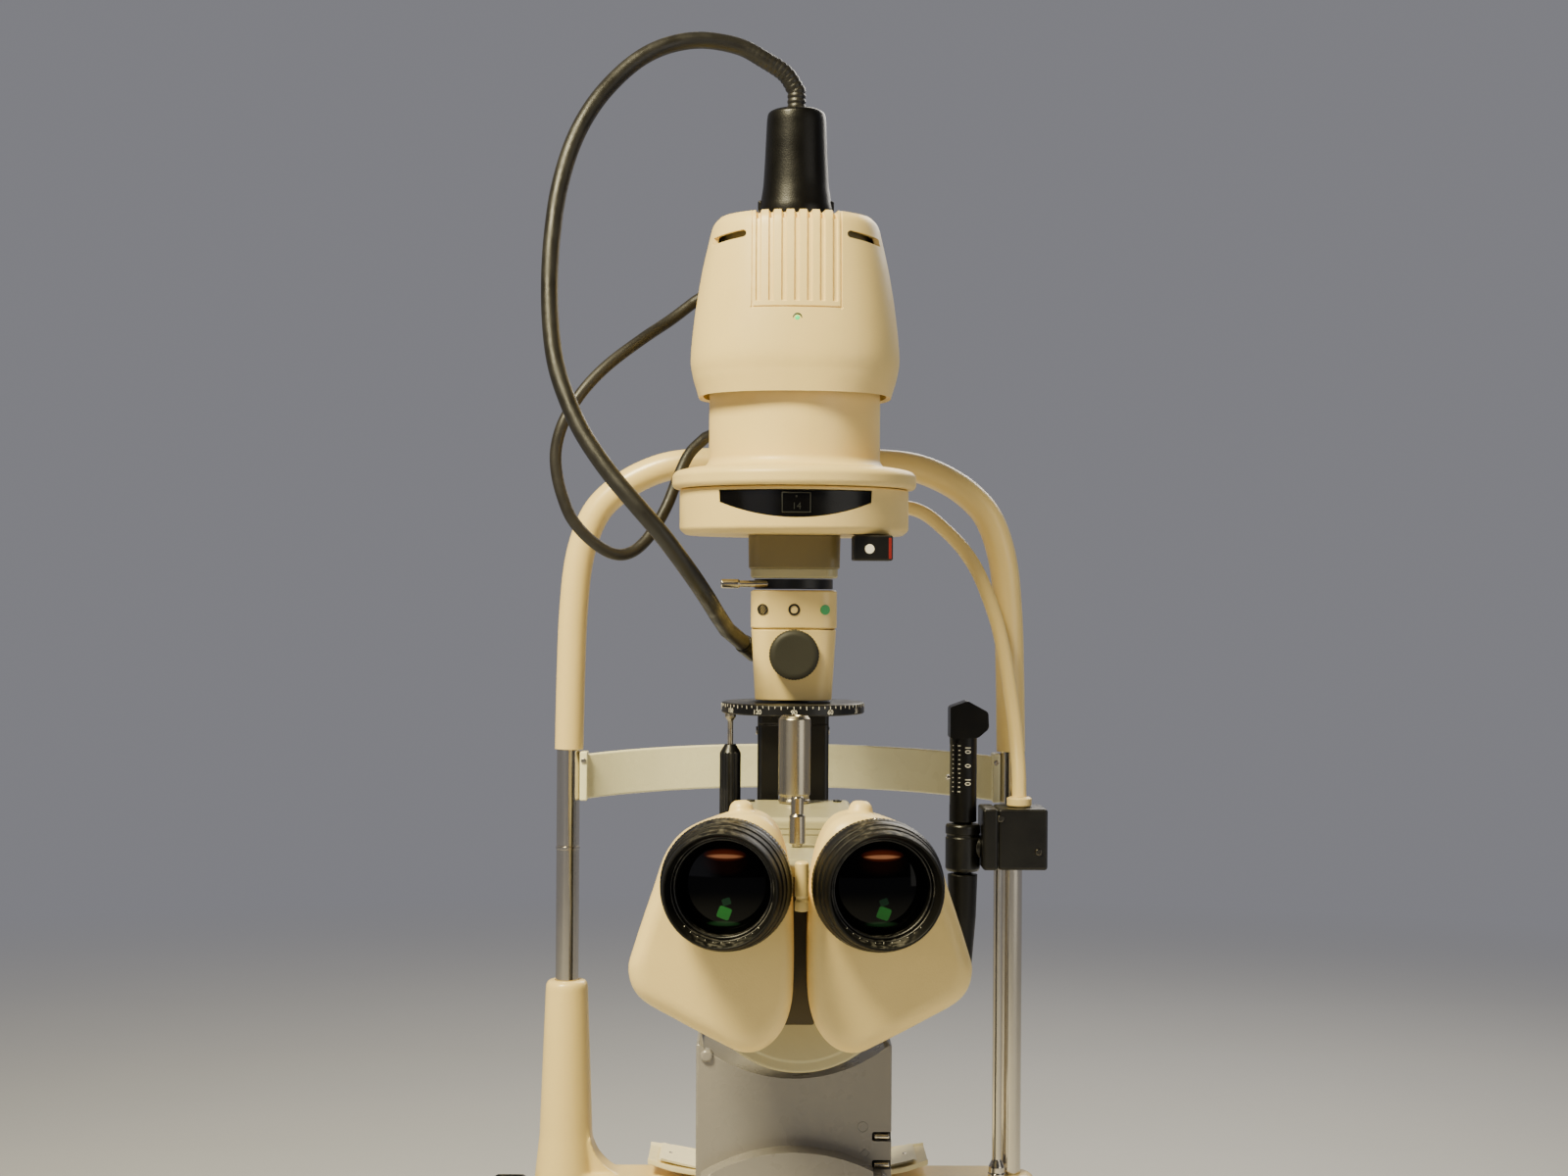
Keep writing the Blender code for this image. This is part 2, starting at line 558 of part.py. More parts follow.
def make_base():
    body("base", (0, 0, 0), "cross_slide")
    right = [(0.055, -0.165), (0.070, -0.155), (0.076, -0.135), (0.076, 0.045), (0.068, 0.068),
             (0.046, 0.100), (0.038, 0.125), (0.038, 0.170)]
    nose = arc((0, FOCUS.y), 0.038, 20, 160, 9)
    outline = right + nose + mirrored(right)
    height = BASE_Z[1] - BASE_Z[0]
    shell = plate(outline, height, (0, 0, sum(BASE_Z) / 2))
    bevel(shell, 0.006)
    join(shell, turned([
        (0, NOSE_TOP), (0.026, NOSE_TOP), (0.030, NOSE_TOP - 0.003), (0.033, BASE_Z[1] - 0.004),
        (0, BASE_Z[1] - 0.004),
    ], (0, FOCUS.y, 0)))
    cutters = [
        cylinder((0, FOCUS.y, 0.070), LIFT_R + RUN, 0.0860),
        cylinder((0, AXLE_Y, AXLE_Z), SLEEVE_R + RUN, 0.20, "X"),
        cylinder((0, JOYSTICK.y, 0.050), 0.0230, 0.08),
        cylinder((0.076, -0.060, 0.052), 0.0040, 0.03, "X", 16),
        cylinder((-0.045, -0.110, 0.075), 0.0040, 0.02, sides=16),
    ]
    finish(cut(shell, *cutters), "base_casting", "cream", "base")

    body("joystick_x", JOYSTICK, "base")
    ball = bmesh.new()
    bmesh.ops.create_uvsphere(ball, u_segments=16, v_segments=8, radius=BALL_R)
    finish(shape(mesh_from(ball), JOYSTICK), "joystick_ball", "steel", "joystick_x")
    body("joystick_y", JOYSTICK, "joystick_x")
    foot = JOYSTICK.z + BALL_R + GAP
    shaft = turned([
        (0, GRIP_Z[0] - GAP), (0.0060, GRIP_Z[0] - GAP), (0.0060, 0.088), (0.0100, 0.084),
        (0.0095, 0.066), (0.0060, foot), (0, foot),
    ], (0, JOYSTICK.y, 0), 20)
    finish(shaft, "joystick_shaft", "steel", "joystick_y")
    body("joystick_grip", (0, JOYSTICK.y, GRIP_Z[0]), "joystick_y")
    grip = turned([
        (0, GRIP_Z[1]), (0.008, GRIP_Z[1]), (0.0135, GRIP_Z[1] - 0.003), (0.0165, GRIP_Z[1] - 0.012),
        (0.0150, GRIP_Z[1] - 0.030), (0.0140, GRIP_Z[0] + 0.018), (0.0165, GRIP_Z[0] + 0.006),
        (0.0150, GRIP_Z[0]), (0, GRIP_Z[0]),
    ], (0, JOYSTICK.y, 0), 20)
    finish(grip, "joystick_grip", "soft_black", "joystick_grip")

    body("base_lock", (0.076, -0.060, 0.052), "base")
    lock = cylinder((0.0855, -0.060, 0.052), 0.0120, 0.018, "X", 20, 0.002)
    join(lock, cylinder((0.0720, -0.060, 0.052), 0.0034, 0.014, "X", 16))
    finish(lock, "base_lock_knob", "black", "base_lock")
    body("brightness", (-0.045, -0.110, 0.075), "base")
    dial = cylinder((-0.045, -0.110, 0.0805), 0.0130, 0.010, sides=24, edge=0.0015)
    join(dial, cylinder((-0.045, -0.110, 0.0715), 0.0034, 0.010, sides=16))
    finish(dial, "brightness_dial", "black", "brightness")

    body("lift", (0, FOCUS.y, COLLAR_Z[0]), "base")
    lift = turned([
        (0, LIFT_Z[1]), (LIFT_R, LIFT_Z[1]), (LIFT_R, COLLAR_Z[1]), (0.0240, COLLAR_Z[1]),
        (0.0240, COLLAR_Z[0]), (LIFT_R, COLLAR_Z[0]), (LIFT_R, LIFT_Z[0]), (0, LIFT_Z[0]),
    ], (0, FOCUS.y, 0))
    finish(lift, "lift_column", "steel", "lift")


# ---- the two arms -------------------------------------------------------------------------------
def make_arms():
    y = FOCUS.y
    body("scope", (0, y, SCOPE_HUB_Z[0]), "lift")
    height = SCOPE_HUB_Z[1] - SCOPE_HUB_Z[0]
    middle = sum(SCOPE_HUB_Z) / 2
    outline = arc((0, y), 0.030, 0, 180, 12) + [(-0.018, POST_Y[0] + 0.008), (-0.018, POST_Y[0])]
    outline += [(0.018, POST_Y[0]), (0.018, POST_Y[0] + 0.008)]
    arm = plate(outline, height, (0, 0, middle))
    bevel(arm, 0.002, 1)
    post = block((-0.022, POST_Y[0], SCOPE_HUB_Z[0]), (0.022, POST_Y[1], OPTIC_Z - DRUM_R - 0.0023), 0.003)
    join(arm, post)
    cut(arm, cylinder((0, y, middle), LIFT_R + RUN, height + 0.01))
    cut(arm, cylinder((0.040, 0.125, middle), 0.0040, 0.050, "X", 16))
    finish(arm, "scope_arm", "grey", "scope")

    body("lamp_arm", (0, y, LAMP_HUB_Z[0]), "lift")
    bottom, top = LAMP_HUB_Z
    middle = (bottom + top) / 2
    outline = arc((0, y), 0.030, 0, 180, 12) + [(-0.027, 0.060), (0.027, 0.060)]
    arm = plate(outline, top - bottom, (0, 0, middle))
    saddle = block((-0.0270, 0.061, top - 0.004), (0.0270, y - 0.010, 0.2150))
    seat = cylinder(FOCUS, TILT_SEAT_R, 0.10, "X", 128)
    seat_way = block((-0.0205, 0.030, 0.160), (0.0205, y + 0.02, 0.23))
    boolean(seat_way, seat, "INTERSECT")
    join(arm, saddle)
    cut(arm, seat_way, cylinder((0, y, bottom + 0.006), LIFT_R + RUN, 0.0205))
    cut(arm, block((-0.03, 0.128, 0.1665), (0.03, 0.20, 0.23)))
    cut(arm, cylinder((0.030, 0.125, 0.1480), 0.0040, 0.04, "X", 16))
    finish(arm, "illum_arm", "grey", "lamp_arm")

    for owner, name, z, side in (("scope", "scope_arm_knob", sum(SCOPE_HUB_Z) / 2, 0.0265),
                                 ("lamp_arm", "illum_arm_knob", 0.1480, 0.0275)):
        body(f"{name}_turn", (side, 0.125, z), owner)
        knob = cylinder((side + 0.0130, 0.125, z), 0.0095, 0.016, "X", 20, 0.0015)
        join(knob, cylinder((side, 0.125, z), 0.0034, 0.020, "X", 16))
        finish(knob, name, "black", f"{name}_turn")


# ---- lamp tower ---------------------------------------------------------------------------------
def make_tower_column():
    body("tower", FOCUS, "lamp_arm")
    half = MIRROR_COLUMN_W / 2
    column = block((-half, TOWER_Y - half, 0.240), (half, TOWER_Y + half, RING_Z[0] - GAP), 0.002, 1)
    foot = block((-0.0200, TOWER_Y - 0.020, 0.170), (0.0200, TOWER_Y + 0.020, 0.256))
    seat = cylinder(FOCUS, TILT_SEAT_R - RUN, 0.10, "X", 128)
    boolean(foot, seat, "INTERSECT")
    join(column, foot)
    window = block((-0.0095, TOWER_Y - 0.03, MIRROR_WINDOW[0]), (0.0095, TOWER_Y + 0.03, MIRROR_WINDOW[1]))
    cut(column, window, cylinder((0, TOWER_Y, 0.2350), 0.0044, 0.06, "X", 20))
    finish(column, "mirror_column", "black", "tower")

    glass = block((-0.0092, -0.0150, -0.0015), (0.0092, 0.0150, 0.0015))
    glass.rotation_euler = (math.radians(45), 0, 0)
    glass.location = (0, TOWER_Y, OPTIC_Z)
    finish(glass, "mirror", "glass", "tower")

    body("slit_width", (0, TOWER_Y, 0.235), "tower")
    profile = [(0, 0.0420), (0.0135, 0.0420), (0.0155, 0.0400), (0.0155, 0.0290), (0.0140, 0.0277)]
    profile += [(0.0040, 0.0277), (0.0040, -0.0277)] + [(r, -x) for r, x in reversed(profile)]
    knobs = turned(profile, steps=20)
    knobs.rotation_euler = (0, math.radians(90), 0)
    knobs.location = (0, TOWER_Y, 0.235)
    finish(knobs, "slit_width_knobs", "soft_black", "slit_width")

    body("slit_turn", (0, TOWER_Y, RING_Z[0]), "tower")
    ring = turned([
        (0.0080, RING_Z[1]), (RING_R - 0.0006, RING_Z[1]), (RING_R, RING_Z[1] - 0.0006),
        (RING_R, RING_Z[0] + 0.0006), (RING_R - 0.0006, RING_Z[0]), (0.0080, RING_Z[0]),
    ], (0, TOWER_Y, 0), 32, True)
    finish(ring, "slit_scale_ring", "black", "slit_turn")
    handle = turned([
        (0, RING_Z[0] - GAP), (0.00135, RING_Z[0] - GAP), (0.00135, 0.4590), (0.0030, 0.4580),
        (0.0052, 0.4530), (0.0052, 0.4150), (0, 0.4150),
    ], (-0.0300, 0.0785, 0), 18)
    finish(handle, "slit_handle", "soft_black", "slit_turn")


def rounded_square(half, corner, count=4):
    inner = half - corner
    found = []
    for start, x, y in ((0, inner, inner), (90, -inner, inner), (180, -inner, -inner), (270, inner, -inner)):
        found += arc((x, y), corner, start, start + 90, count)
    return found


def stack(levels, corner, place):
    """A solid lofted between rounded squares of (half width, height), bottom to top."""
    work = bmesh.new()
    loops = []
    for half, z in levels:
        loops.append([work.verts.new((x, y, z)) for x, y in rounded_square(half, corner)])
    for lower, upper in zip(loops, loops[1:]):
        for i in range(len(lower)):
            j = (i + 1) % len(lower)
            work.faces.new((lower[i], lower[j], upper[j], upper[i]))
    work.faces.new(list(reversed(loops[0])))
    work.faces.new(loops[-1])
    return shape(mesh_from(work), place)


def make_tower_head():
    axis = (0, TOWER_Y, 0)
    trunk = stack([(0.0180, BODY_Z[0]), (0.0186, BODY_Z[0] + 0.0012), (0.0203, BODY_Z[1] - 0.0012),
                   (0.0199, BODY_Z[1])], 0.009, axis)
    tip, inward = route_end(GUIDE_ROUTE)
    join(trunk, gland(tip, inward, 0.0046, 0.015))
    front = TOWER_Y - 0.0205
    cut(trunk, cylinder((0, front, 0.5035), 0.0035, 0.016, "Y", 16))
    finish(trunk, "tower_body", "cream", "tower")

    body("centring", (0, TOWER_Y - 0.02, 0.5035), "tower")
    knob = cylinder((0, front - 0.0068, 0.5035), 0.01185, 0.0120, "Y", 24, 0.0012)
    join(knob, cylinder((0, front + 0.002, 0.5035), 0.0029, 0.008, "Y", 16))
    finish(knob, "centring_knob", "soft_black", "centring")

    filters = stack([(0.0200, FILTER_Z[0]), (0.0206, FILTER_Z[0] + 0.001), (0.0206, FILTER_Z[1] - 0.001),
                     (0.0200, FILTER_Z[1])], 0.009, axis)
    finish(filters, "filter_housing", "cream", "tower")

    body("filter_turn", (0, TOWER_Y, LEVER_Z[0]), "tower")
    height = LEVER_Z[1] - LEVER_Z[0]
    middle = sum(LEVER_Z) / 2
    lever = cylinder((0, TOWER_Y, middle), 0.0190, height, sides=24)
    join(lever, cylinder((-0.0260, TOWER_Y - 0.0060, middle), 0.0023, 0.018, "X", 14))
    finish(lever, "filter_lever", "black", "filter_turn")

    neck = stack([(0.0210, NECK_Z[0]), (0.0216, NECK_Z[0] + 0.001), (0.0220, NECK_Z[0] + 0.004),
                  (0.0220, NECK_Z[1])], 0.006, axis)
    finish(neck, "neck_block", "shade_cream", "tower")
    make_turret()
    make_lamp_house()


def lens_outline(half, top, drop, grow):
    """A smile: straight above, an arc below, grown all round by a margin."""
    radius = (half ** 2 + drop ** 2) / (2 * drop)
    middle = top - drop + radius
    sweep = math.degrees(math.acos((middle - top - grow) / (radius + grow)))
    return arc((0, middle), radius + grow, 270 - sweep, 270 + sweep, 12)


def make_turret():
    low, high = TURRET_Z
    axis = (0, TOWER_Y, 0)
    drum = turned([
        (0, high), (TURRET_R, high), (TURRET_R, low + 0.0025), (TURRET_R - 0.0025, low), (0, low),
    ], axis, 40)

    def windowed(grow, inner, outer):
        pane = plate(lens_outline(0.0345, 0.5800, 0.0120, grow), 0.05, (0, TOWER_Y - 0.045, 0), FACING)
        ring = turned([(inner, 0.59), (outer, 0.59), (outer, 0.55), (inner, 0.55)], axis, 40, True)
        return boolean(pane, ring, "INTERSECT")

    finish(cut(drum, windowed(2 * GAP, 0.0497, 0.0600)), "turret_housing", "cream", "tower")
    finish(windowed(0.0, 0.0500, 0.0546), "turret_window", "glass", "tower")

    body("turret_turn", (0, TOWER_Y, NECK_Z[1]), "tower")
    lever = block((0.0270, 0.0480, 0.5480), (0.0455, 0.0700, NECK_Z[1] - 0.0002), 0.0008, 1)
    finish(lever, "turret_lever", "black", "turret_turn")


def make_lamp_house():
    axis = (0, TOWER_Y, 0)
    low, high = COVER_Z
    wall = 0.0030
    cover = turned([
        (COVER_R - wall, high), (COVER_R, high), (COVER_R, 0.6010), (0.0435, 0.5965), (0.0500, 0.5930),
        (FLANGE_R - 0.001, 0.5912), (FLANGE_R, 0.5900), (FLANGE_R, 0.5840), (FLANGE_R - 0.001, low),
        (0.0160, low), (0.0160, 0.5890), (COVER_R - wall, 0.5970),
    ], axis, 32, True)
    tip, inward = route_end(LEAD_ROUTE)
    join(cover, gland(tip, inward, 0.0045, 0.0085))
    finish(cover, "lamp_base_cover", "cream", "tower")

    levels = [  # (half width, half depth, height), top to bottom
        (0.0185, 0.0185, HOUSING_Z[1]), (0.0300, 0.0300, HOUSING_Z[1]), (0.0372, 0.0365, 0.7120),
        (0.0400, 0.0392, 0.7085), (0.0420, 0.0410, 0.7010), (0.0453, 0.0436, 0.6860),
        (0.0484, 0.0462, 0.6665), (0.0504, 0.0480, 0.6460), (0.0493, 0.0472, 0.6365),
        (0.0476, 0.0466, 0.6305), (0.0464, 0.0462, HOUSING_Z[0]),
    ]
    housing = lofted_shell(levels, 28, HOUSING_WALL, axis)
    tip, inward = route_end(LEAD_ROUTE, last=False)
    join(housing, gland(tip, inward, 0.0045, 0.0120))
    for side in (-1, 1):
        vent = block((-0.0085, -0.010, -0.0018), (0.0085, 0.010, 0.0018), 0.0010, 1)
        vent.rotation_euler = (0, math.radians(-8 * side), 0)
        vent.location = (side * 0.0315, TOWER_Y - 0.030, 0.7000)
        cut(housing, vent)
    finish(housing, "lamp_housing", "cream", "tower")

    module = turned([
        (0, PLUG_Z[0] - GAP), (0.0165, PLUG_Z[0] - GAP), (0.0165, 0.6955), (0.0200, 0.6945),
        (0.0200, 0.6805), (0.0090, 0.6795), (0.0085, 0.6600), (0.0060, 0.6545), (0, 0.6535),
    ], axis, 20)
    finish(module, "lamp_module", "grey", "tower")
    bottom, top = PLUG_Z
    plug = turned([
        (0, top), (0.0115, top), (0.0136, top - 0.0012), (0.0142, top - 0.0035), (0.0150, 0.7430),
        (0.0158, 0.7290), (0.0172, 0.7215), (0.0178, 0.7185), (0.0178, bottom), (0, bottom),
    ], axis, 28)
    finish(plug, "lamp_plug", "soft_black", "tower")


def lofted_shell(levels, sides, wall, place):
    """An open shell through soft-cornered sections, given its wall by Solidify."""
    work = bmesh.new()
    loops = []
    for half, deep, z in levels:
        loop = []
        for i in range(sides):
            angle = 2 * math.pi * i / sides
            power = 0.86 if half > 0.02 else 1.0
            x = math.copysign(abs(math.cos(angle)) ** power, math.cos(angle))
            y = math.copysign(abs(math.sin(angle)) ** power, math.sin(angle))
            loop.append(work.verts.new((half * x, deep * y, z)))
        loops.append(loop)
    for upper, lower in zip(loops, loops[1:]):
        for i in range(sides):
            j = (i + 1) % sides
            work.faces.new((lower[i], lower[j], upper[j], upper[i]))
    obj = shape(mesh_from(work), place)
    step = obj.modifiers.new("wall", "SOLIDIFY")
    step.thickness = wall
    step.offset = -1.0
    step.use_even_offset = True
    return obj


def make_cords():
    for name, route, diameter in (("light_guide", GUIDE_ROUTE, GUIDE_DIAMETER),
                                  ("lamp_lead", LEAD_ROUTE, LEAD_DIAMETER)):
        cord = tube(smooth_route(route, 2.2 * diameter, leads=True), diameter / 2, 2)
        finish(cord, name, "soft_black", "tower")


# ---- microscope ---------------------------------------------------------------------------------
def make_scope():
    z = OPTIC_Z
    drum = cylinder((0, (SCOPE_BACK_Y - 0.020) / 2, z), DRUM_R, -0.020 - SCOPE_BACK_Y, "Y", 32, 0.0012)
    front = cylinder((0, 0.014, z), 0.0350, 0.072, "Y", 24)
    top = block((-0.0260, -0.0300, z), (0.0260, SCOPE_FRONT_Y, TOP_PLATE_Z), 0.0020)
    seat = block((-0.0220, 0.0080, OPTIC_Z - DRUM_R - 0.0020), (0.0220, SCOPE_FRONT_Y, z), 0.0010, 1)
    scope = join(drum, front, top, seat)
    cut(scope, cylinder((0, -0.055, z), 0.0045, 0.10, "X", 20))
    finish(scope, "scope_body", "shade_cream", "scope")

    lens = turned([
        (0, 0.0070), (0.0200, 0.0062), (0.0210, 0.0110), (0.0270, 0.0135), (0.0290, 0.0120),
        (0.0290, GAP), (0, GAP),
    ], steps=24)
    lens.rotation_euler = (math.radians(-90), 0, 0)
    lens.location = (0, SCOPE_FRONT_Y, z)
    finish(lens, "objective", "black", "scope")

    body("magnification", (0, -0.055, z), "scope")
    profile = [(0, 0.0560), (0.0140, 0.0560), (0.0160, 0.0540), (0.0160, 0.0430), (0.0150, 0.0414)]
    profile += [(0.0040, 0.0414), (0.0040, -0.0414)] + [(r, -x) for r, x in reversed(profile)]
    knobs = turned(profile, steps=20)
    knobs.rotation_euler = (0, math.radians(90), 0)
    knobs.location = (0, -0.055, z)
    finish(knobs, "magnification_knobs", "soft_black", "magnification")

    post = turned([
        (0, 0.4766), (0.0055, 0.4766), (0.00695, 0.4750), (0.00695, TOP_PLATE_Z + GAP),
        (0, TOP_PLATE_Z + GAP),
    ], (0, 0.0340, 0), 28)
    finish(post, "tonometer_post", "steel", "scope")
    pin = turned([
        (0, 0.4396), (0.0028, 0.4396), (0.00345, 0.4388), (0.00345, z + DRUM_R + GAP),
        (0, z + DRUM_R + GAP),
    ], (0, -0.0450, 0), 20)
    finish(pin, "light_path_pin", "steel", "scope")

    screw = turned([
        (0, 0.4330), (0.0018, 0.4330), (0.0026, 0.4322), (0.0026, 0.4200), (0.0022, 0.4195),
        (0.0022, 0.4150), (0.0026, 0.4145), (0.0026, 0.4050), (0, 0.4050),
    ], (0, -0.1490, 0), 16)
    join(screw, block((-0.0015, -0.1490, 0.4050), (0.0015, SCOPE_BACK_Y - GAP, 0.4140)))
    finish(screw, "tube_lock_screw", "shade_cream", "scope")
    make_camera()


def make_camera():
    low, high = CAMERA_Z
    outline = rounded_square(CAMERA_HALF, 0.004, 3)
    scale = (high - low) / (2 * CAMERA_HALF)
    outline = [(x, (low + high) / 2 + y * scale) for x, y in outline]
    depth = CAMERA_Y[1] - CAMERA_Y[0]
    case = bevel(plate(outline, depth, (0, sum(CAMERA_Y) / 2, 0), FACING), 0.0025)
    crown = arc((0, 0.2155), 0.0760, 58, 122, 12)
    bulge = plate(crown + [(-0.0400, 0.248), (0.0400, 0.248)], 0.016, (0, CAMERA_Y[0] - 0.004, 0), FACING)
    join(case, bevel(bulge, 0.004))
    cut(case, cylinder((0, 0, OPTIC_Z), 0.0660, 0.12, "Y", 48))
    for z in (0.3000, 0.2880):
        cut(case, block((0.0335, -0.02, z - 0.0021), (0.0440, 0.001, z + 0.0021)))
    finish(case, "camera_unit", "grey", "scope")


def make_prisms():
    outline = [
        (-0.0033, 0.4030), (-0.0040, 0.4218), (-0.0062, 0.4400), (-0.0104, 0.4500), (-0.0179, 0.4528),
        (-0.0311, 0.4488), (-0.0443, 0.4426), (-0.0519, 0.4331), (-0.0564, 0.4199), (-0.0632, 0.3992),
        (-0.0651, 0.3878), (-0.0613, 0.3784), (-0.0443, 0.3671), (-0.0273, 0.3584), (-0.0198, 0.3577),
        (-0.0104, 0.3622), (-0.0047, 0.3709), (-0.0033, 0.3841),
    ]
    rounded = closed_curve(outline, 2)
    depth = PRISM_Y[1] - PRISM_Y[0]
    for side, name in ((-1, "left"), (1, "right")):
        shown = rounded if side < 0 else mirrored(rounded)
        body(f"prism_{name}", (side * PRISM_PIVOT_X, PRISM_Y[1], OPTIC_Z), "scope")
        housing = plate(shown, depth, (0, sum(PRISM_Y) / 2, 0), FACING)
        bevel(housing, 0.004)
        finish(housing, f"prism_{name}", "cream", f"prism_{name}")

        centre = Vector((side * EYEPIECE.x, EYEPIECE.y, EYEPIECE.z))
        aim = Vector((side * math.sin(EYEPIECE_TOE), -math.cos(EYEPIECE_TOE), 0))
        ring = (PRISM_Y[0] - EYEPIECE.y) / math.cos(EYEPIECE_TOE)
        start = centre - aim * ring
        body(f"eyepiece_{name}", start, f"prism_{name}")
        eyepiece = turned([
            (0, 0.0250), (0.0148, 0.0262), (0.0185, 0.0340), (0.0205, 0.0345), (0.0212, 0.0338),
            (0.0222, 0.0250), (0.0236, 0.0200), (0.0247, 0.0165), (0.0247, 0.0125), (0.0235, 0.0118),
            (0.0232, 0.0070), (0.0165, 0.0066), (0.0165, 0.0021), (0, 0.0021),
        ], start, 26)
        eyepiece.rotation_euler = aim.to_track_quat("Z", "Y").to_euler()
        finish(eyepiece, f"eyepiece_{name}", "black", f"eyepiece_{name}")


def closed_curve(points, parts):
    """A smooth closed outline through points, with so many straight parts between neighbours."""
    knots = [Vector(point) for point in points]
    count = len(knots)
    found = []
    for i in range(count):
        span = [knots[(i + k) % count] for k in (-1, 0, 1, 2)]
        found += [catmull(*span, k / parts) for k in range(parts)]
    return [(point.x, point.y) for point in found]


def shade():
    for obj in PARTS.objects:
        if obj.type == "MESH":
            obj.data.shade_smooth()
            obj.data.set_sharp_from_angle(angle=math.radians(35))


make_board()
make_headrest()
make_chinrest()
make_fixation()
make_cross_slide()
make_base()
make_arms()
make_tower_column()
make_tower_head()
make_cords()
make_scope()
make_prisms()
shade()
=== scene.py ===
"""The looks of the slit lamp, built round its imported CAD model.

Metres, +Z up, in the CAD's own frame: the examiner sits at -Y, the patient at +Y, and +X is the
examiner's right. Places come from the CAD nodes' boxes. A shape is made as a mesh, and piece() then
gives it a name, a material, the body it rides on and the CAD nodes that it stands for."""

import json
import math

import bmesh
import bpy
from mathutils import Matrix, Vector


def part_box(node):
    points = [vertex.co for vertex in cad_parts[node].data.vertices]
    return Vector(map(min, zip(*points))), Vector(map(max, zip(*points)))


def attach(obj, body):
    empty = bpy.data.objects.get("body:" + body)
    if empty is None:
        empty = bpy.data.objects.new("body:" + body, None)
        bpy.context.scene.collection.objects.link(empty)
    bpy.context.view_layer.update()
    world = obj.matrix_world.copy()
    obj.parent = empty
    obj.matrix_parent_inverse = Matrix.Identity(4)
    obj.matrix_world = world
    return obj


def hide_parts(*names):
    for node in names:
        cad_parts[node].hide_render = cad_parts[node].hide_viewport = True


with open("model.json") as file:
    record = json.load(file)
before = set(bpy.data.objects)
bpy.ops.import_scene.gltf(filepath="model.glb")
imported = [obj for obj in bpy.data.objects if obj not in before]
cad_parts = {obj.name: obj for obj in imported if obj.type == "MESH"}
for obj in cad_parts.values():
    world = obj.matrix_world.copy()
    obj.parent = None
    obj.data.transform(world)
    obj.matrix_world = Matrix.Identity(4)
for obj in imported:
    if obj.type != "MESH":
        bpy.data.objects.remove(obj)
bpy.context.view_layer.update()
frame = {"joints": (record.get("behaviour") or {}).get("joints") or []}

CAMERA_PLACE = (-0.0164, -0.954, 0.535)
CAMERA_LENS = 49.5                      # millimetres, on a 36 mm wide sensor
CAMERA_TURN = (90.0, -0.35, -0.645)     # degrees about X, Y and Z

BACKDROP = (0.60, 0.60, 0.66)           # the plain grey behind the object, a little blue
BACKDROP_STRENGTH = 0.36

GAP = 0.0003                            # the air that the CAD leaves between pieces that meet
SKIN = 0.0002                           # how far a printed mark stands off its surface
LEFT, RIGHT = -1, 1

GUIDE_DIAMETER = 0.0080
LEAD_DIAMETER = 0.0058
# The thick light guide: out of the plug, over in a wide loop and down into the tower's left side.
GUIDE_ROUTE = [
    (0.0000, 0.0900, 0.7665), (0.0000, 0.0900, 0.7755), (-0.0055, 0.0885, 0.7835),
    (-0.0159, 0.0860, 0.7898), (-0.0277, 0.0840, 0.7954), (-0.0437, 0.0800, 0.7973),
    (-0.0581, 0.0760, 0.7948), (-0.0718, 0.0710, 0.7880), (-0.0841, 0.0660, 0.7770),
    (-0.0955, 0.0580, 0.7613), (-0.1041, 0.0510, 0.7429), (-0.1100, 0.0460, 0.7214),
    (-0.1127, 0.0410, 0.7001), (-0.1136, 0.0360, 0.6781), (-0.1127, 0.0310, 0.6568),
    (-0.1099, 0.0260, 0.6375), (-0.1046, 0.0210, 0.6214), (-0.0966, 0.0160, 0.6044),
    (-0.0848, 0.0110, 0.5872), (-0.0728, 0.0080, 0.5730), (-0.0597, 0.0090, 0.5578),
    (-0.0484, 0.0170, 0.5425), (-0.0406, 0.0320, 0.5305), (-0.0362, 0.0530, 0.5225),
    (-0.0318, 0.0740, 0.5150), (-0.0246, 0.0880, 0.5085),
]
# The thin lamp lead: out of the lamp housing's rear left, round in a loop and into the cover below it.
LEAD_ROUTE = [
    (-0.0400, 0.1295, 0.6850), (-0.0500, 0.1330, 0.6790), (-0.0620, 0.1280, 0.6690),
    (-0.0757, 0.1170, 0.6580), (-0.0920, 0.1070, 0.6439), (-0.1037, 0.1010, 0.6304),
    (-0.1119, 0.0965, 0.6161), (-0.1157, 0.0960, 0.6033), (-0.1157, 0.0960, 0.5918),
    (-0.1128, 0.0960, 0.5794), (-0.1076, 0.0960, 0.5675), (-0.0986, 0.0980, 0.5575),
    (-0.0883, 0.1010, 0.5513), (-0.0800, 0.1060, 0.5519), (-0.0726, 0.1110, 0.5582),
    (-0.0665, 0.1160, 0.5681), (-0.0620, 0.1200, 0.5775), (-0.0575, 0.1240, 0.5900),
    (-0.0520, 0.1265, 0.6020), (-0.0440, 0.1250, 0.6100), (-0.0365, 0.1200, 0.6130),
]


# ---- materials ----------------------------------------------------------------------------------
def colour(red, green, blue):
    """A colour as a painter reads it, 0 to 255, in the linear values that a shader takes."""
    shares = (value / 255 for value in (red, green, blue))
    return tuple(s / 12.92 if s <= 0.04045 else ((s + 0.055) / 1.055) ** 2.4 for s in shares)


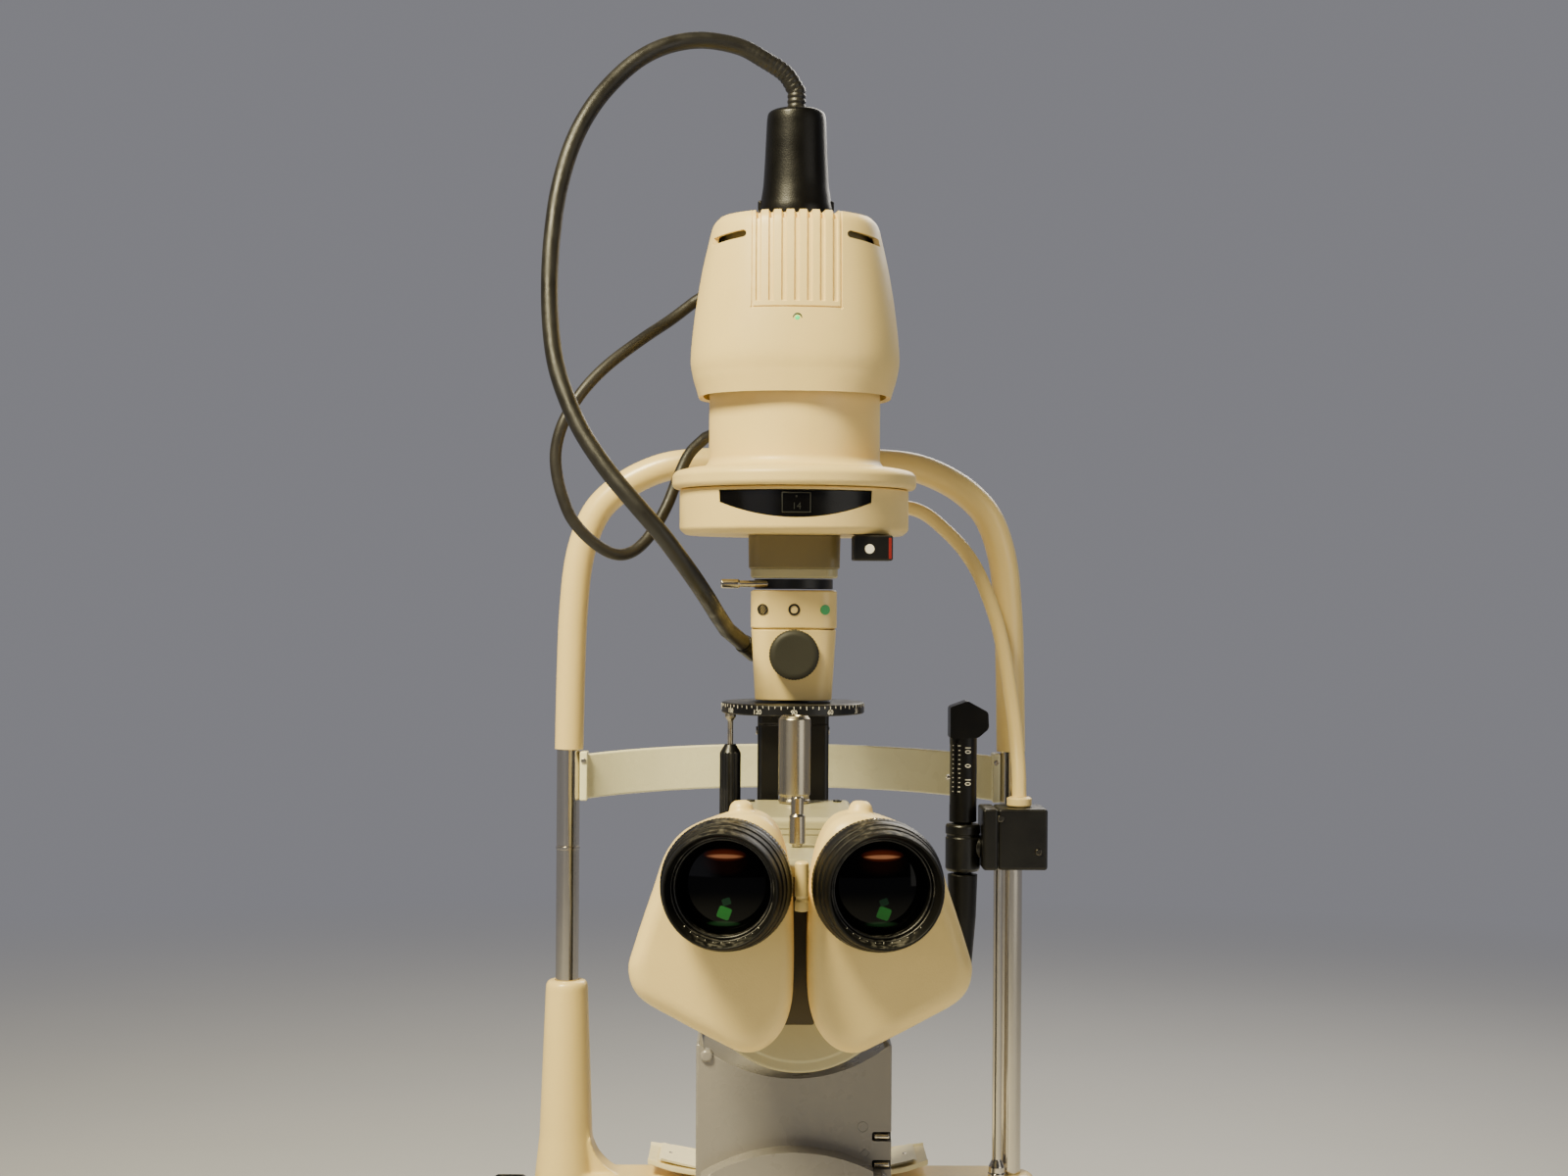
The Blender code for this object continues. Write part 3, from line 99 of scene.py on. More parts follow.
class Look:
    """A procedural material: blotches of colour, fine grain, uneven gloss, wear and dust."""

    def __init__(self, name, slot, tone, roughness, metallic=0.0):
        self.slot = slot
        self.material = bpy.data.materials.new(name)
        self.material.use_nodes = True
        self.tree = self.material.node_tree
        self.shader = self.tree.nodes["Principled BSDF"]
        self.shader.inputs["Metallic"].default_value = metallic
        self.place = self.node("TexCoord").outputs["Object"]
        self.roughness = roughness
        self.tone = tone
        self.shown = None
        self.heights = []

    def node(self, kind, **settings):
        made = self.tree.nodes.new(f"ShaderNode{kind}")
        for key, value in settings.items():
            setattr(made, key, value)
        return made

    def wire(self, start, end):
        self.tree.links.new(start, end)

    def set(self, **values):
        """Sets the shader's own sockets by name."""
        for key, value in values.items():
            self.shader.inputs[key.replace("_", " ")].default_value = value
        return self

    def noise(self, scale, detail=3.0, stretch=(1, 1, 1)):
        """Noise fixed to the object, longer along any axis whose stretch is small."""
        mapping = self.node("Mapping")
        mapping.inputs["Scale"].default_value = stretch
        self.wire(self.place, mapping.inputs["Vector"])
        made = self.node("TexNoise")
        made.inputs["Scale"].default_value = scale
        made.inputs["Detail"].default_value = detail
        self.wire(mapping.outputs["Vector"], made.inputs["Vector"])
        return made.outputs["Fac"]

    def ranged(self, value, low, high, start=0.0, end=1.0):
        """The value carried from low..high to start..end."""
        made = self.node("MapRange")
        for key, number in zip(("From Min", "From Max", "To Min", "To Max"), (low, high, start, end)):
            made.inputs[key].default_value = number
        self.wire(value, made.inputs["Value"])
        return made.outputs["Result"]

    def maths(self, operation, one, other):
        made = self.node("Math", operation=operation)
        for socket, value in zip(made.inputs, (one, other)):
            if isinstance(value, float):
                socket.default_value = value
            else:
                self.wire(value, socket)
        return made.outputs["Value"]

    def mixed(self, share, one, other):
        """Two colours, or the outputs of two nodes, mixed by a share."""
        made = self.node("Mix", data_type="RGBA")
        self.wire(share, made.inputs["Factor"])
        for socket, value in ((made.inputs[6], one), (made.inputs[7], other)):
            if isinstance(value, tuple):
                socket.default_value = (*value, 1.0)
            else:
                self.wire(value, socket)
        return made.outputs[2]

    def blotched(self, amount, scale=22.0):
        """The colour drifts a little, as moulded plastic and sprayed paint do."""
        light = tuple(min(1.0, c * (1 + amount)) for c in self.tone)
        dark = tuple(c * (1 - amount) for c in self.tone)
        self.shown = self.mixed(self.ranged(self.noise(scale, 5.0), 0.3, 0.7), dark, light)
        return self

    def grained(self, scale, depth, stretch=(1, 1, 1)):
        """Fine bumps, that deep."""
        self.heights.append((self.noise(scale, 2.0, stretch), depth))
        return self

    def glossed(self, swing, scale=70.0, stretch=(1, 1, 1)):
        """Handling leaves some patches shinier than others."""
        low = max(0.02, self.roughness - swing)
        gloss = self.ranged(self.noise(scale, 6.0, stretch), 0.35, 0.7, low, self.roughness + swing)
        self.wire(gloss, self.shader.inputs["Roughness"])
        return self

    def worn(self, tone, amount=0.5):
        """Edges rub through to a lighter tone, unevenly."""
        rounded = self.node("Bevel", samples=4)
        rounded.inputs["Radius"].default_value = 0.0006
        facing = self.node("VectorMath", operation="DOT_PRODUCT")
        self.wire(rounded.outputs["Normal"], facing.inputs[0])
        self.wire(self.node("NewGeometry").outputs["Normal"], facing.inputs[1])
        edges = self.ranged(facing.outputs["Value"], 0.985, 0.90)
        patches = self.ranged(self.noise(160.0, 4.0), 0.45, 0.65, 0.0, amount)
        self.shown = self.mixed(self.maths("MULTIPLY", edges, patches), self.shown, tone)
        return self

    def dusty(self, tone, amount=0.25):
        """Dust settles on faces that look up."""
        split = self.node("SeparateXYZ")
        self.wire(self.node("NewGeometry").outputs["Normal"], split.inputs["Vector"])
        upward = self.ranged(split.outputs["Z"], 0.75, 1.0)
        specks = self.ranged(self.noise(420.0, 5.0), 0.46, 0.72, 0.0, amount)
        self.shown = self.mixed(self.maths("MULTIPLY", upward, specks), self.shown, tone)
        return self

    def done(self):
        """Wires the colour and the bumps to the shader."""
        if self.shown is None:
            self.shader.inputs["Base Color"].default_value = (*self.tone, 1.0)
        else:
            self.wire(self.shown, self.shader.inputs["Base Color"])
        normal = None
        for height, depth in self.heights:
            bump = self.node("Bump")
            bump.inputs["Strength"].default_value = 1.0
            bump.inputs["Distance"].default_value = depth
            self.wire(height, bump.inputs["Height"])
            if normal:
                self.wire(normal, bump.inputs["Normal"])
            normal = bump.outputs["Normal"]
        if normal:
            self.wire(normal, self.shader.inputs["Normal"])
        return self


DUST = colour(190, 184, 170)
CREAM = colour(241, 213, 142)
BLACK = colour(7, 6, 5)


def plastic(name, slot, tone, roughness, worn=None, specular=0.5):
    """Moulded plastic with a spark-eroded grain."""
    look = Look(name, slot, tone, roughness).blotched(0.035).glossed(0.06)
    look.grained(1500.0, 0.00006).grained(90.0, 0.00008)
    if worn:
        look.worn(worn)
    return look.dusty(DUST, 0.22).set(Specular_IOR_Level=specular).done()


def paint(name, slot, tone, roughness, worn, coat=0.25):
    """Sprayed enamel on metal: a soft orange peel under a clear gloss, rubbed at the edges."""
    look = Look(name, slot, tone, roughness).blotched(0.03, 14.0).glossed(0.05)
    look.grained(420.0, 0.00005).grained(60.0, 0.00006).worn(worn, 0.6)
    return look.dusty(DUST, 0.2).set(Coat_Weight=coat, Coat_Roughness=0.18).done()


def metal(name, slot, tone, roughness, stretch, depth=0.000003):
    """Turned or drawn metal: fine lines one way, with smears in the gloss."""
    look = Look(name, slot, tone, roughness, 1.0).blotched(0.05, 30.0)
    look.glossed(roughness * 0.3, 260.0, stretch).grained(1800.0, depth, stretch)
    return look.done()


def sheathing(name, tone, roughness):
    """A cable's soft jacket, dusty and a little crazed."""
    look = Look(name, "cable_jacket", tone, roughness).blotched(0.25, 55.0).glossed(0.1, 120.0)
    look.grained(2600.0, 0.00008).grained(240.0, 0.00012)
    return look.dusty(colour(150, 144, 130), 0.3).done()


def coated_glass(name, centre, side):
    """An ocular's dark glass, with painted reflections on it: an amber crescent with a bright highlight above
    the middle, and green spots below it.
    """
    look = Look(name, "lens", colour(3, 3, 4), 0.04).blotched(0.2, 60.0)
    split = look.node("SeparateXYZ")
    look.wire(look.place, split.inputs["Vector"])

    def patch(x, z, wide, high, softness, tone, power=2.0, lean=0.0):
        """Mixes in a spot of painted reflection colour about a point on the glass, leaning by an angle."""
        across = look.maths("SUBTRACT", split.outputs["X"], x)
        up = look.maths("SUBTRACT", split.outputs["Z"], z)
        turn = math.radians(lean)
        along = look.maths("ADD", look.maths("MULTIPLY", across, math.cos(turn)),
                           look.maths("MULTIPLY", up, math.sin(turn)))
        off = look.maths("SUBTRACT", look.maths("MULTIPLY", up, math.cos(turn)),
                         look.maths("MULTIPLY", across, math.sin(turn)))
        sides = []
        for value, size in ((along, wide), (off, high)):
            share = look.maths("ABSOLUTE", look.maths("DIVIDE", value, size), 0.0)
            sides.append(look.maths("POWER", share, power))
        inside = look.ranged(look.maths("ADD", *sides), 1.0 + softness, 1.0 - softness)
        look.shown = look.mixed(inside, look.shown, tone)

    x, z = centre.x, centre.z
    # Painted reflection above the middle: a dark red glow, an amber crescent and a bright painted highlight.
    patch(x + 0.0003, z + 0.0096, 0.0070, 0.0040, 0.8, colour(30, 11, 7))
    patch(x + 0.0003, z + 0.0120, 0.0062, 0.0018, 0.7, colour(112, 46, 24))
    patch(x + 0.0003, z + 0.0115, 0.0058, 0.0007, 0.5, colour(232, 158, 116))
    # Painted reflections below the middle: green spots.
    patch(x + 0.0010, z - 0.0050, 0.0016, 0.0013, 0.3, colour(20, 46, 34), 6.0, 20.0)
    patch(x + 0.0006 + side * 0.0004, z - 0.0092, 0.0024, 0.0023, 0.25, colour(34, 104, 48), 6.0, -20.0)
    patch(x, z - 0.0132, 0.0050, 0.0009, 0.7, colour(28, 58, 36))
    look.glossed(0.015)
    return look.set(Specular_IOR_Level=0.12).done()


def glowing(name, tone):
    """A small lamp's lit dome."""
    look = Look(name, "lens", tone, 0.25).blotched(0.2, 700.0).glossed(0.05)
    return look.set(Emission_Color=(*tone, 1.0), Emission_Strength=1.3).done()


ALONG_Y, ALONG_Z = (1, 0.02, 1), (1, 1, 0.02)
RINGED_X, RINGED_Y, RINGED_Z = (1, 0.03, 0.03), (0.03, 1, 0.03), (0.03, 0.03, 1)
PALE_WEAR = colour(248, 232, 190)
STEEL_WEAR = colour(150, 146, 138)

LOOKS = {
    "cream": plastic("cream_moulding", "cream_plastic", CREAM, 0.42, PALE_WEAR),
    "enamel": paint("cream_enamel", "cream_paint", CREAM, 0.34, PALE_WEAR),
    # A darker cream whose tone is painted shade on the microscope's drum; the neck collar, the heat shield
    # and the base's top plate share it.
    "shade": paint("painted_shade_cream_enamel", "shade_cream", colour(178, 170, 134), 0.38, colour(196, 184, 140)),
    "band": plastic("pale_band_plastic", "pale_band", colour(246, 240, 200), 0.30),
    "grey": paint("silver_grey_lacquer", "grey_plastic", colour(138, 133, 128), 0.30, colour(196, 190, 180)),
    "cast": paint("grey_cast_paint", "grey_metal", colour(132, 130, 126), 0.45, STEEL_WEAR),
    "black": paint("satin_black_anodise", "black_metal", BLACK, 0.38, STEEL_WEAR, 0.05),
    "matt": plastic("black_moulding", "black_plastic", colour(9, 8, 7), 0.36, colour(50, 47, 42), 0.3),
    "knob": plastic("dark_grey_moulding", "black_plastic", colour(42, 41, 34), 0.6, None, 0.3),
    "rubber": plastic("black_rubber", "black_plastic", colour(11, 10, 9), 0.5, None, 0.2),
    "guide": sheathing("light_guide_jacket", colour(30, 28, 24), 0.42),
    "lead": sheathing("lead_jacket", colour(34, 31, 27), 0.5),
    "steel_x": metal("turned_steel_x", "steel", colour(196, 190, 180), 0.24, RINGED_X),
    "steel_y": metal("turned_steel_y", "steel", colour(196, 190, 180), 0.24, RINGED_Y),
    "steel_z": metal("turned_steel_z", "steel", colour(178, 169, 150), 0.36, RINGED_Z, 0.0000015),
    "post": metal("ground_post", "steel", colour(186, 176, 154), 0.30, ALONG_Z, 0.000001),
    "dark_steel": metal("blued_screw", "steel", colour(96, 92, 84), 0.3, RINGED_Y),
    "rail": metal("drawn_steel", "steel", colour(186, 182, 174), 0.32, ALONG_Y, 0.00001),
    "chrome": metal("polished_chrome", "chrome", colour(216, 208, 192), 0.19, ALONG_Z, 0.000001),
    "white": plastic("white_ink", "black_metal", colour(232, 228, 214), 0.5),
    "red": plastic("red_ink", "black_metal", colour(118, 20, 16), 0.45),
    "green": plastic("green_enamel", "cream_plastic", colour(60, 160, 92), 0.4),
    "etched": plastic("etched_figures", "lens", colour(26, 27, 24), 0.5),
    # Dark olive: painted shade under the turret, on the neck casting.
    "neck": paint("neck_enamel_painted_shade", "shade_cream", colour(122, 110, 74), 0.4, colour(150, 138, 100)),
    # Dark olive: painted shade, on the plate in the gap between the prism housings.
    "olive": plastic("painted_gap_shade_plate", "shade_cream", colour(74, 66, 42), 0.4),
    "rim_green": plastic("dark_green_rim", "lens", colour(10, 70, 44), 0.35),
    "ink": plastic("dark_ink", "black_metal", colour(22, 19, 15), 0.5),
    "paper": plastic("chin_paper", "chin_cup", colour(242, 232, 200), 0.85),
    "cup": plastic("chin_cup_plastic", "chin_cup", colour(238, 222, 172), 0.4),
    "edge": plastic("board_edging", "board", colour(120, 116, 108), 0.5),
    "led": glowing("green_lamp", colour(30, 214, 110)),
}


def board_look():
    """Laminate: a pale ground with fine specks and long faint streaks."""
    look = Look("speckled_laminate", "board", colour(206, 202, 192), 0.48).blotched(0.03, 6.0)
    specks = look.ranged(look.noise(700.0, 2.0), 0.62, 0.68, 0.0, 0.5)
    look.shown = look.mixed(specks, look.shown, colour(120, 116, 108))
    streaks = look.ranged(look.noise(26.0, 6.0, (0.06, 1, 1)), 0.5, 0.75, 0.0, 0.3)
    look.shown = look.mixed(streaks, look.shown, colour(184, 176, 160))
    return look.glossed(0.06).grained(800.0, 0.00004).done()


def window_look():
    """Smoked glass over a dark scale."""
    look = Look("smoked_window", "lens", colour(9, 8, 8), 0.22).blotched(0.3, 45.0).glossed(0.06)
    return look.set(Specular_IOR_Level=0.3).done()


def mirror_look():
    """A front-silvered mirror, faintly smeared."""
    look = Look("front_silvered_mirror", "mirror", colour(226, 230, 232), 0.04, 1.0).blotched(0.02)
    return look.glossed(0.02, 200.0).done()


LOOKS["board"] = board_look()
LOOKS["window"] = window_look()
LOOKS["mirror"] = mirror_look()


# ---- shapes, all as meshes ----------------------------------------------------------------------
def soften(points, radius, closed=False, parts=4):
    """The line through points with its corners rounded."""
    knots = [Vector(point) for point in points]
    found = []
    for i, knot in enumerate(knots):
        if not closed and i in (0, len(knots) - 1):
            found.append(knot)
            continue
        before = knots[i - 1] - knot
        after = knots[(i + 1) % len(knots)] - knot
        reach = min(radius, before.length * 0.45, after.length * 0.45)
        start = knot + before.normalized() * reach
        end = knot + after.normalized() * reach
        for k in range(parts + 1):
            t = k / parts
            found.append(start * (1 - t) ** 2 + knot * 2 * t * (1 - t) + end * t ** 2)
    return found


def catmull(before, start, end, after, t):
    """The point at share t of the smooth curve from start to end."""
    return 0.5 * (
        2 * start + (end - before) * t
        + (2 * before - 5 * start + 4 * end - after) * t ** 2
        + (3 * start - before - 3 * end + after) * t ** 3
    )


def smooth(points, parts=6, closed=False):
    """Points on a smooth curve through all the given ones."""
    knots = [Vector(point) for point in points]
    if closed:
        knots = [knots[-1], *knots, knots[0], knots[1]]
    else:
        knots = [2 * knots[0] - knots[1], *knots, 2 * knots[-1] - knots[-2]]
    spans = list(zip(knots, knots[1:], knots[2:], knots[3:]))
    found = [catmull(*span, k / parts) for span in spans for k in range(parts)]
    return found if closed else [*found, knots[-2]]


def arc(centre, radius, start, end, count):
    """Points on an arc in a plane, between two angles in degrees."""
    found = []
    for i in range(count + 1):
        angle = math.radians(start + (end - start) * i / count)
        found.append(Vector((centre[0] + radius * math.cos(angle), centre[1] + radius * math.sin(angle))))
    return found


def box_outline(half_x, half_y, corner, count=8, centre=(0, 0)):
    """A rectangle with round corners."""
    found = []
    inner_x, inner_y = half_x - corner, half_y - corner
    for start, x, y in ((0, 1, 1), (90, -1, 1), (180, -1, -1), (270, 1, -1)):
        middle = (centre[0] + x * inner_x, centre[1] + y * inner_y)
        found += arc(middle, corner, start, start + 90, count)
    return found


def mesh_from(work):
    """The finished mesh, with every face turned outward."""
    bmesh.ops.recalc_face_normals(work, faces=work.faces)
    mesh = bpy.data.meshes.new("shape")
    work.to_mesh(mesh)
    work.free()
    return mesh


def stitch(work, one, other):
    """Faces between two rings. A ring of one point is a tip."""
    if len(one) == 1 and len(other) == 1:
        return
    for i in range(max(len(one), len(other))):
        j = i + 1
        corners = [one[i % len(one)], one[j % len(one)], other[j % len(other)], other[i % len(other)]]
        work.faces.new(list(dict.fromkeys(corners)))


def lathe(profile, steps=72, ridges=None, closed=False):
    """A mesh turned about Z from (radius, height) points. ridges is (count, depth, low, high): so
    many grooves along the axis between two heights."""
    work = bmesh.new()
    rings = []
    if ridges:
        steps = ridges[0] * 6
    for radius, height in profile:
        if radius < 1e-6:
            rings.append([work.verts.new((0, 0, height))])
            continue
        ring = []
        for k in range(steps):
            angle = 2 * math.pi * k / steps
            reach = radius
            if ridges and ridges[2] <= height <= ridges[3]:
                reach -= ridges[1] * max(0.0, math.cos(ridges[0] * angle))
            ring.append(work.verts.new((reach * math.cos(angle), reach * math.sin(angle), height)))
        rings.append(ring)
    if closed:
        rings.append(rings[0])
    for one, other in zip(rings, rings[1:]):
        stitch(work, one, other)
    return mesh_from(work)


def turned(points, edge, steps=72, closed=False, parts=4, ridges=None):
    """A mesh turned about Z from a profile with its corners rounded."""
    return lathe(soften(points, edge, closed, parts), steps, ridges, closed)


def slab(outline, low, high, edge=0.0, segments=3, plane="XY"):
    """An outline extruded between two levels of the third axis, with its rims rounded."""
    order = {"XY": (0, 1, 2), "XZ": (0, 2, 1), "YZ": (2, 0, 1)}[plane]
    work = bmesh.new()
    rims = []
    for level in (low, high):
        points = [(p[0], p[1], level) for p in outline]
        rims.append([work.verts.new([point[i] for i in order]) for point in points])
    stitch(work, *rims)
    for rim in rims:
        work.faces.new(rim)
    if edge:
        caps = [set(rim) for rim in rims]
        edges = [e for e in work.edges if any(set(e.verts) <= cap for cap in caps)]
        bmesh.ops.bevel(
            work, geom=edges, offset=edge, segments=segments, profile=0.5, affect="EDGES",
            clamp_overlap=True
        )
    return mesh_from(work)


def brick(low, high, edge=0.0005, segments=3):
    """A box between two corners with every edge rounded."""
    low, high = Vector(low), Vector(high)
    work = bmesh.new()
    bmesh.ops.create_cube(work, size=1.0)
    bmesh.ops.scale(work, vec=high - low, verts=work.verts)
    bmesh.ops.translate(work, vec=(low + high) / 2, verts=work.verts)
    bmesh.ops.bevel(work, geom=work.edges[:], offset=edge, segments=segments, profile=0.5, affect="EDGES")
    return mesh_from(work)


def pillow(outline, low, high, edge, crown):
    """A slab along Y whose rims are quarter-round and whose low face is crowned."""
    middle = sum(outline, Vector((0, 0))) / len(outline)
    reach = sum((p - middle).length for p in outline) / len(outline)
    rings = []
    for share in (0.35, 0.6, 0.8):
        rings.append((share * (1 - edge / reach), low - crown * (1 - share ** 2)))
    for k in range(9):
        angle = math.radians(90 * k / 8)
        rings.append((1 - edge / reach * (1 - math.sin(angle)), low + edge * (1 - math.cos(angle))))
    for k in range(9):
        angle = math.radians(90 * k / 8)
        rings.append((1 - edge / reach * (1 - math.cos(angle)), high - edge * (1 - math.sin(angle))))
    for share in (0.7, 0.4):
        rings.append((share * (1 - edge / reach), high))
    work = bmesh.new()
    loops = [[work.verts.new((middle.x, low - crown, middle.y))]]
    for share, level in rings:
        points = [middle + (p - middle) * share for p in outline]
        loops.append([work.verts.new((p.x, level, p.y)) for p in points])
    loops.append([work.verts.new((middle.x, high, middle.y))])
    for one, other in zip(loops, loops[1:]):
        stitch(work, one, other)
    return mesh_from(work)


def loft(rings, tips=True):
    """A skin through rings of points, closed by its first and last ring."""
    work = bmesh.new()
    loops = [[work.verts.new(point) for point in ring] for ring in rings]
    for one, other in zip(loops, loops[1:]):
        stitch(work, one, other)
    if tips:
        work.faces.new(loops[0])
        work.faces.new(loops[-1])
    return mesh_from(work)


def sweep(points, radius, sides=16, closed=False):
    """A round bar along points. radius is a number, or a function of the length walked."""
    knots = [Vector(point) for point in points]
    count = len(knots)
    up = Vector((0, 0, 1))
    rings = []
    walked = 0.0
    for i, knot in enumerate(knots):
        before = knots[i - 1] if closed or i else knot
        after = knots[(i + 1) % count] if closed or i < count - 1 else knot
        along = (after - before).normalized()
        side = along.cross(up)
        if side.length < 0.1:
            side = along.cross(Vector((0, 1, 0)))
        side.normalize()
        up = side.cross(along).normalized()
        if i:
            walked += (knot - knots[i - 1]).length
        size = radius(walked) if callable(radius) else radius
        ring = []
        for k in range(sides):
            angle = 2 * math.pi * k / sides
            ring.append(knot + (side * math.cos(angle) + up * math.sin(angle)) * size)
        rings.append(ring)
    if closed:
        return loft([*rings, rings[0]], tips=False)
    return loft(rings)


def placed(mesh, place, aim=None):
    """The mesh moved so that its origin is at place, with its Z axis turned to aim if one is given."""
    if aim:
        mesh.transform(Vector(aim).to_track_quat("Z", "Y").to_matrix().to_4x4())
    mesh.transform(Matrix.Translation(Vector(place)))
    return mesh


def merged(*meshes):
    """Several meshes as one, each left whole."""
    work = bmesh.new()
    for mesh in meshes:
        work.from_mesh(mesh)
    made = bpy.data.meshes.new("shape")
    work.to_mesh(made)
    work.free()
    return made


def evaluated(mesh, *steps):
    """The mesh after modifiers, each given as its kind and its settings."""
    obj = bpy.data.objects.new("guide", mesh)
    bpy.context.scene.collection.objects.link(obj)
    for kind, settings in steps:
        step = obj.modifiers.new("step", kind)
        for key, value in settings.items():
            setattr(step, key, value)
    graph = bpy.context.evaluated_depsgraph_get()
    made = bpy.data.meshes.new_from_object(obj.evaluated_get(graph))
    bpy.data.objects.remove(obj, do_unlink=True)
    return made


def combined(mesh, others, operation):
    """The mesh after one boolean operation with each of the others."""
    for other in others:
        tool = bpy.data.objects.new("guide", other)
        bpy.context.scene.collection.objects.link(tool)
        mesh = evaluated(mesh, ("BOOLEAN", {"operation": operation, "solver": "EXACT", "object": tool}))
        bpy.data.objects.remove(tool, do_unlink=True)
    return mesh


def united(mesh, *others):
    """The solids as one."""
    return combined(mesh, others, "UNION")


def carved(mesh, *others):
    """The first solid, less the others."""
    return combined(mesh, others, "DIFFERENCE")


def cast(meshes, cutters=(), voxel=0.001, rounds=4):
    """One casting from several solids: their joints run into each other with soft fillets."""
    whole = evaluated(merged(*meshes), ("REMESH", {"mode": "VOXEL", "voxel_size": voxel}))
    whole = evaluated(whole, ("SMOOTH", {"factor": 0.5, "iterations": rounds}))
    return carved(whole, *cutters)


def rod(radius, start, end, steps=48, edge=0.0):
    """A round bar between two points, with rounded rims."""
    start, end = Vector(start), Vector(end)
    length = (end - start).length
    profile = soften([(0, length), (radius, length), (radius, 0), (0, 0)], edge) if edge else [
        (0, length), (radius, length), (radius, 0), (0, 0)
    ]
    return placed(lathe(profile, steps), start, end - start)


def torus(radius, wire, place, aim=(0, 0, 1), steps=72, sides=12):
    """A round wire bent into a ring."""
    points = arc((radius, 0), wire, 0, 360 - 360 / sides, sides - 1)
    return placed(lathe(points, steps, closed=True), place, aim)


def digits(text, size, place, across, up, depth=0.0004):
    """Numerals as thin solids, centred on place."""
    curve = bpy.data.curves.new("digits", "FONT")
    curve.body = text
    curve.size = size
    curve.align_x = "CENTER"
    curve.align_y = "CENTER"
    curve.extrude = depth / 2
    mesh = evaluated_curve(curve)
    across, up = Vector(across).normalized(), Vector(up).normalized()
    turn = Matrix((across, up, across.cross(up))).transposed().to_4x4()
    mesh.transform(Matrix.Translation(Vector(place)) @ turn)
    return mesh


def evaluated_curve(curve):
    """A curve as a mesh, with doubled points joined."""
    source = bpy.data.objects.new("guide", curve)
    bpy.context.scene.collection.objects.link(source)
    graph = bpy.context.evaluated_depsgraph_get()
    mesh = bpy.data.meshes.new_from_object(source.evaluated_get(graph))
    bpy.data.objects.remove(source, do_unlink=True)
    work = bmesh.new()
    work.from_mesh(mesh)
    bmesh.ops.remove_doubles(work, verts=work.verts, dist=0.000001)
    work.to_mesh(mesh)
    work.free()
    return mesh


def piece(name, shape, look, body, *stands_for, sharp=38, even=True):
    """Shows a mesh or curve as one named piece that rides on a body."""
    obj = bpy.data.objects.new(name, shape)
    bpy.context.scene.collection.objects.link(obj)
    obj.data.name = name
    obj.data.materials.clear()
    obj.data.materials.append(LOOKS[look].material)
    if obj.type == "MESH":
        obj.data.shade_smooth()
        obj.data.set_sharp_from_angle(angle=math.radians(sharp))
        if even:
            step = obj.modifiers.new("normals", "WEIGHTED_NORMAL")
            step.keep_sharp = True
    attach(obj, body)
    if stands_for:
        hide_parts(*stands_for)
    return obj


def low(node):
    """The low corner of a CAD node's box."""
    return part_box(node)[0]


def high(node):
    """The high corner of a CAD node's box."""
    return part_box(node)[1]


def mid(node):
    """The middle of a CAD node's box."""
    return sum(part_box(node), Vector()) / 2


TOWER = Vector((0.0, mid("turret_housing").y, 0.0))     # the lamp tower's upright axis
PIVOT_Y = mid("lift_column").y                          # both arms turn about this upright line
OPTIC_Z = mid("objective").z                            # the microscope's axis
FRONT = Vector((0, -1, 0))
SHANK = 0.0034                                          # radius of a small knob's shank
SHANK_BORE = 0.0040
SPINDLE_BORE = 0.0165                                   # the arms turn on the lift spindle
HUB_RADIUS = 0.0298
ARM_KNOB_Y = 0.125
HEAD_CORNER = 0.009                                     # of the lamp tower's squarish castings
BASE_TOP = high("base_casting").z - 0.020               # the base's flat top, below its boss
LOCK = Vector((0.0765, -0.060, 0.052))                  # the base's two small knobs
DIAL = Vector((-0.045, -0.110, 0.0755))


# ---- camera, lights and floor -------------------------------------------------------------------
def make_camera():
    data = bpy.data.cameras.new("camera")
    data.lens = CAMERA_LENS
    data.sensor_width = 36.0
    data.clip_start = 0.01
    camera = bpy.data.objects.new("camera", data)
    camera.location = CAMERA_PLACE
    camera.rotation_euler = [math.radians(angle) for angle in CAMERA_TURN]
    bpy.context.scene.collection.objects.link(camera)
    bpy.context.scene.camera = camera


def area_light(name, place, target, size, power, tint):
    """A softbox aimed at a target."""
    data = bpy.data.lights.new(name, "AREA")
    data.shape = "RECTANGLE"
    data.size, data.size_y = size
    data.energy = power
    data.color = tint
    lamp = bpy.data.objects.new(name, data)
    lamp.location = place
    lamp.rotation_euler = (Vector(target) - Vector(place)).to_track_quat("-Z", "Y").to_euler()
    bpy.context.scene.collection.objects.link(lamp)


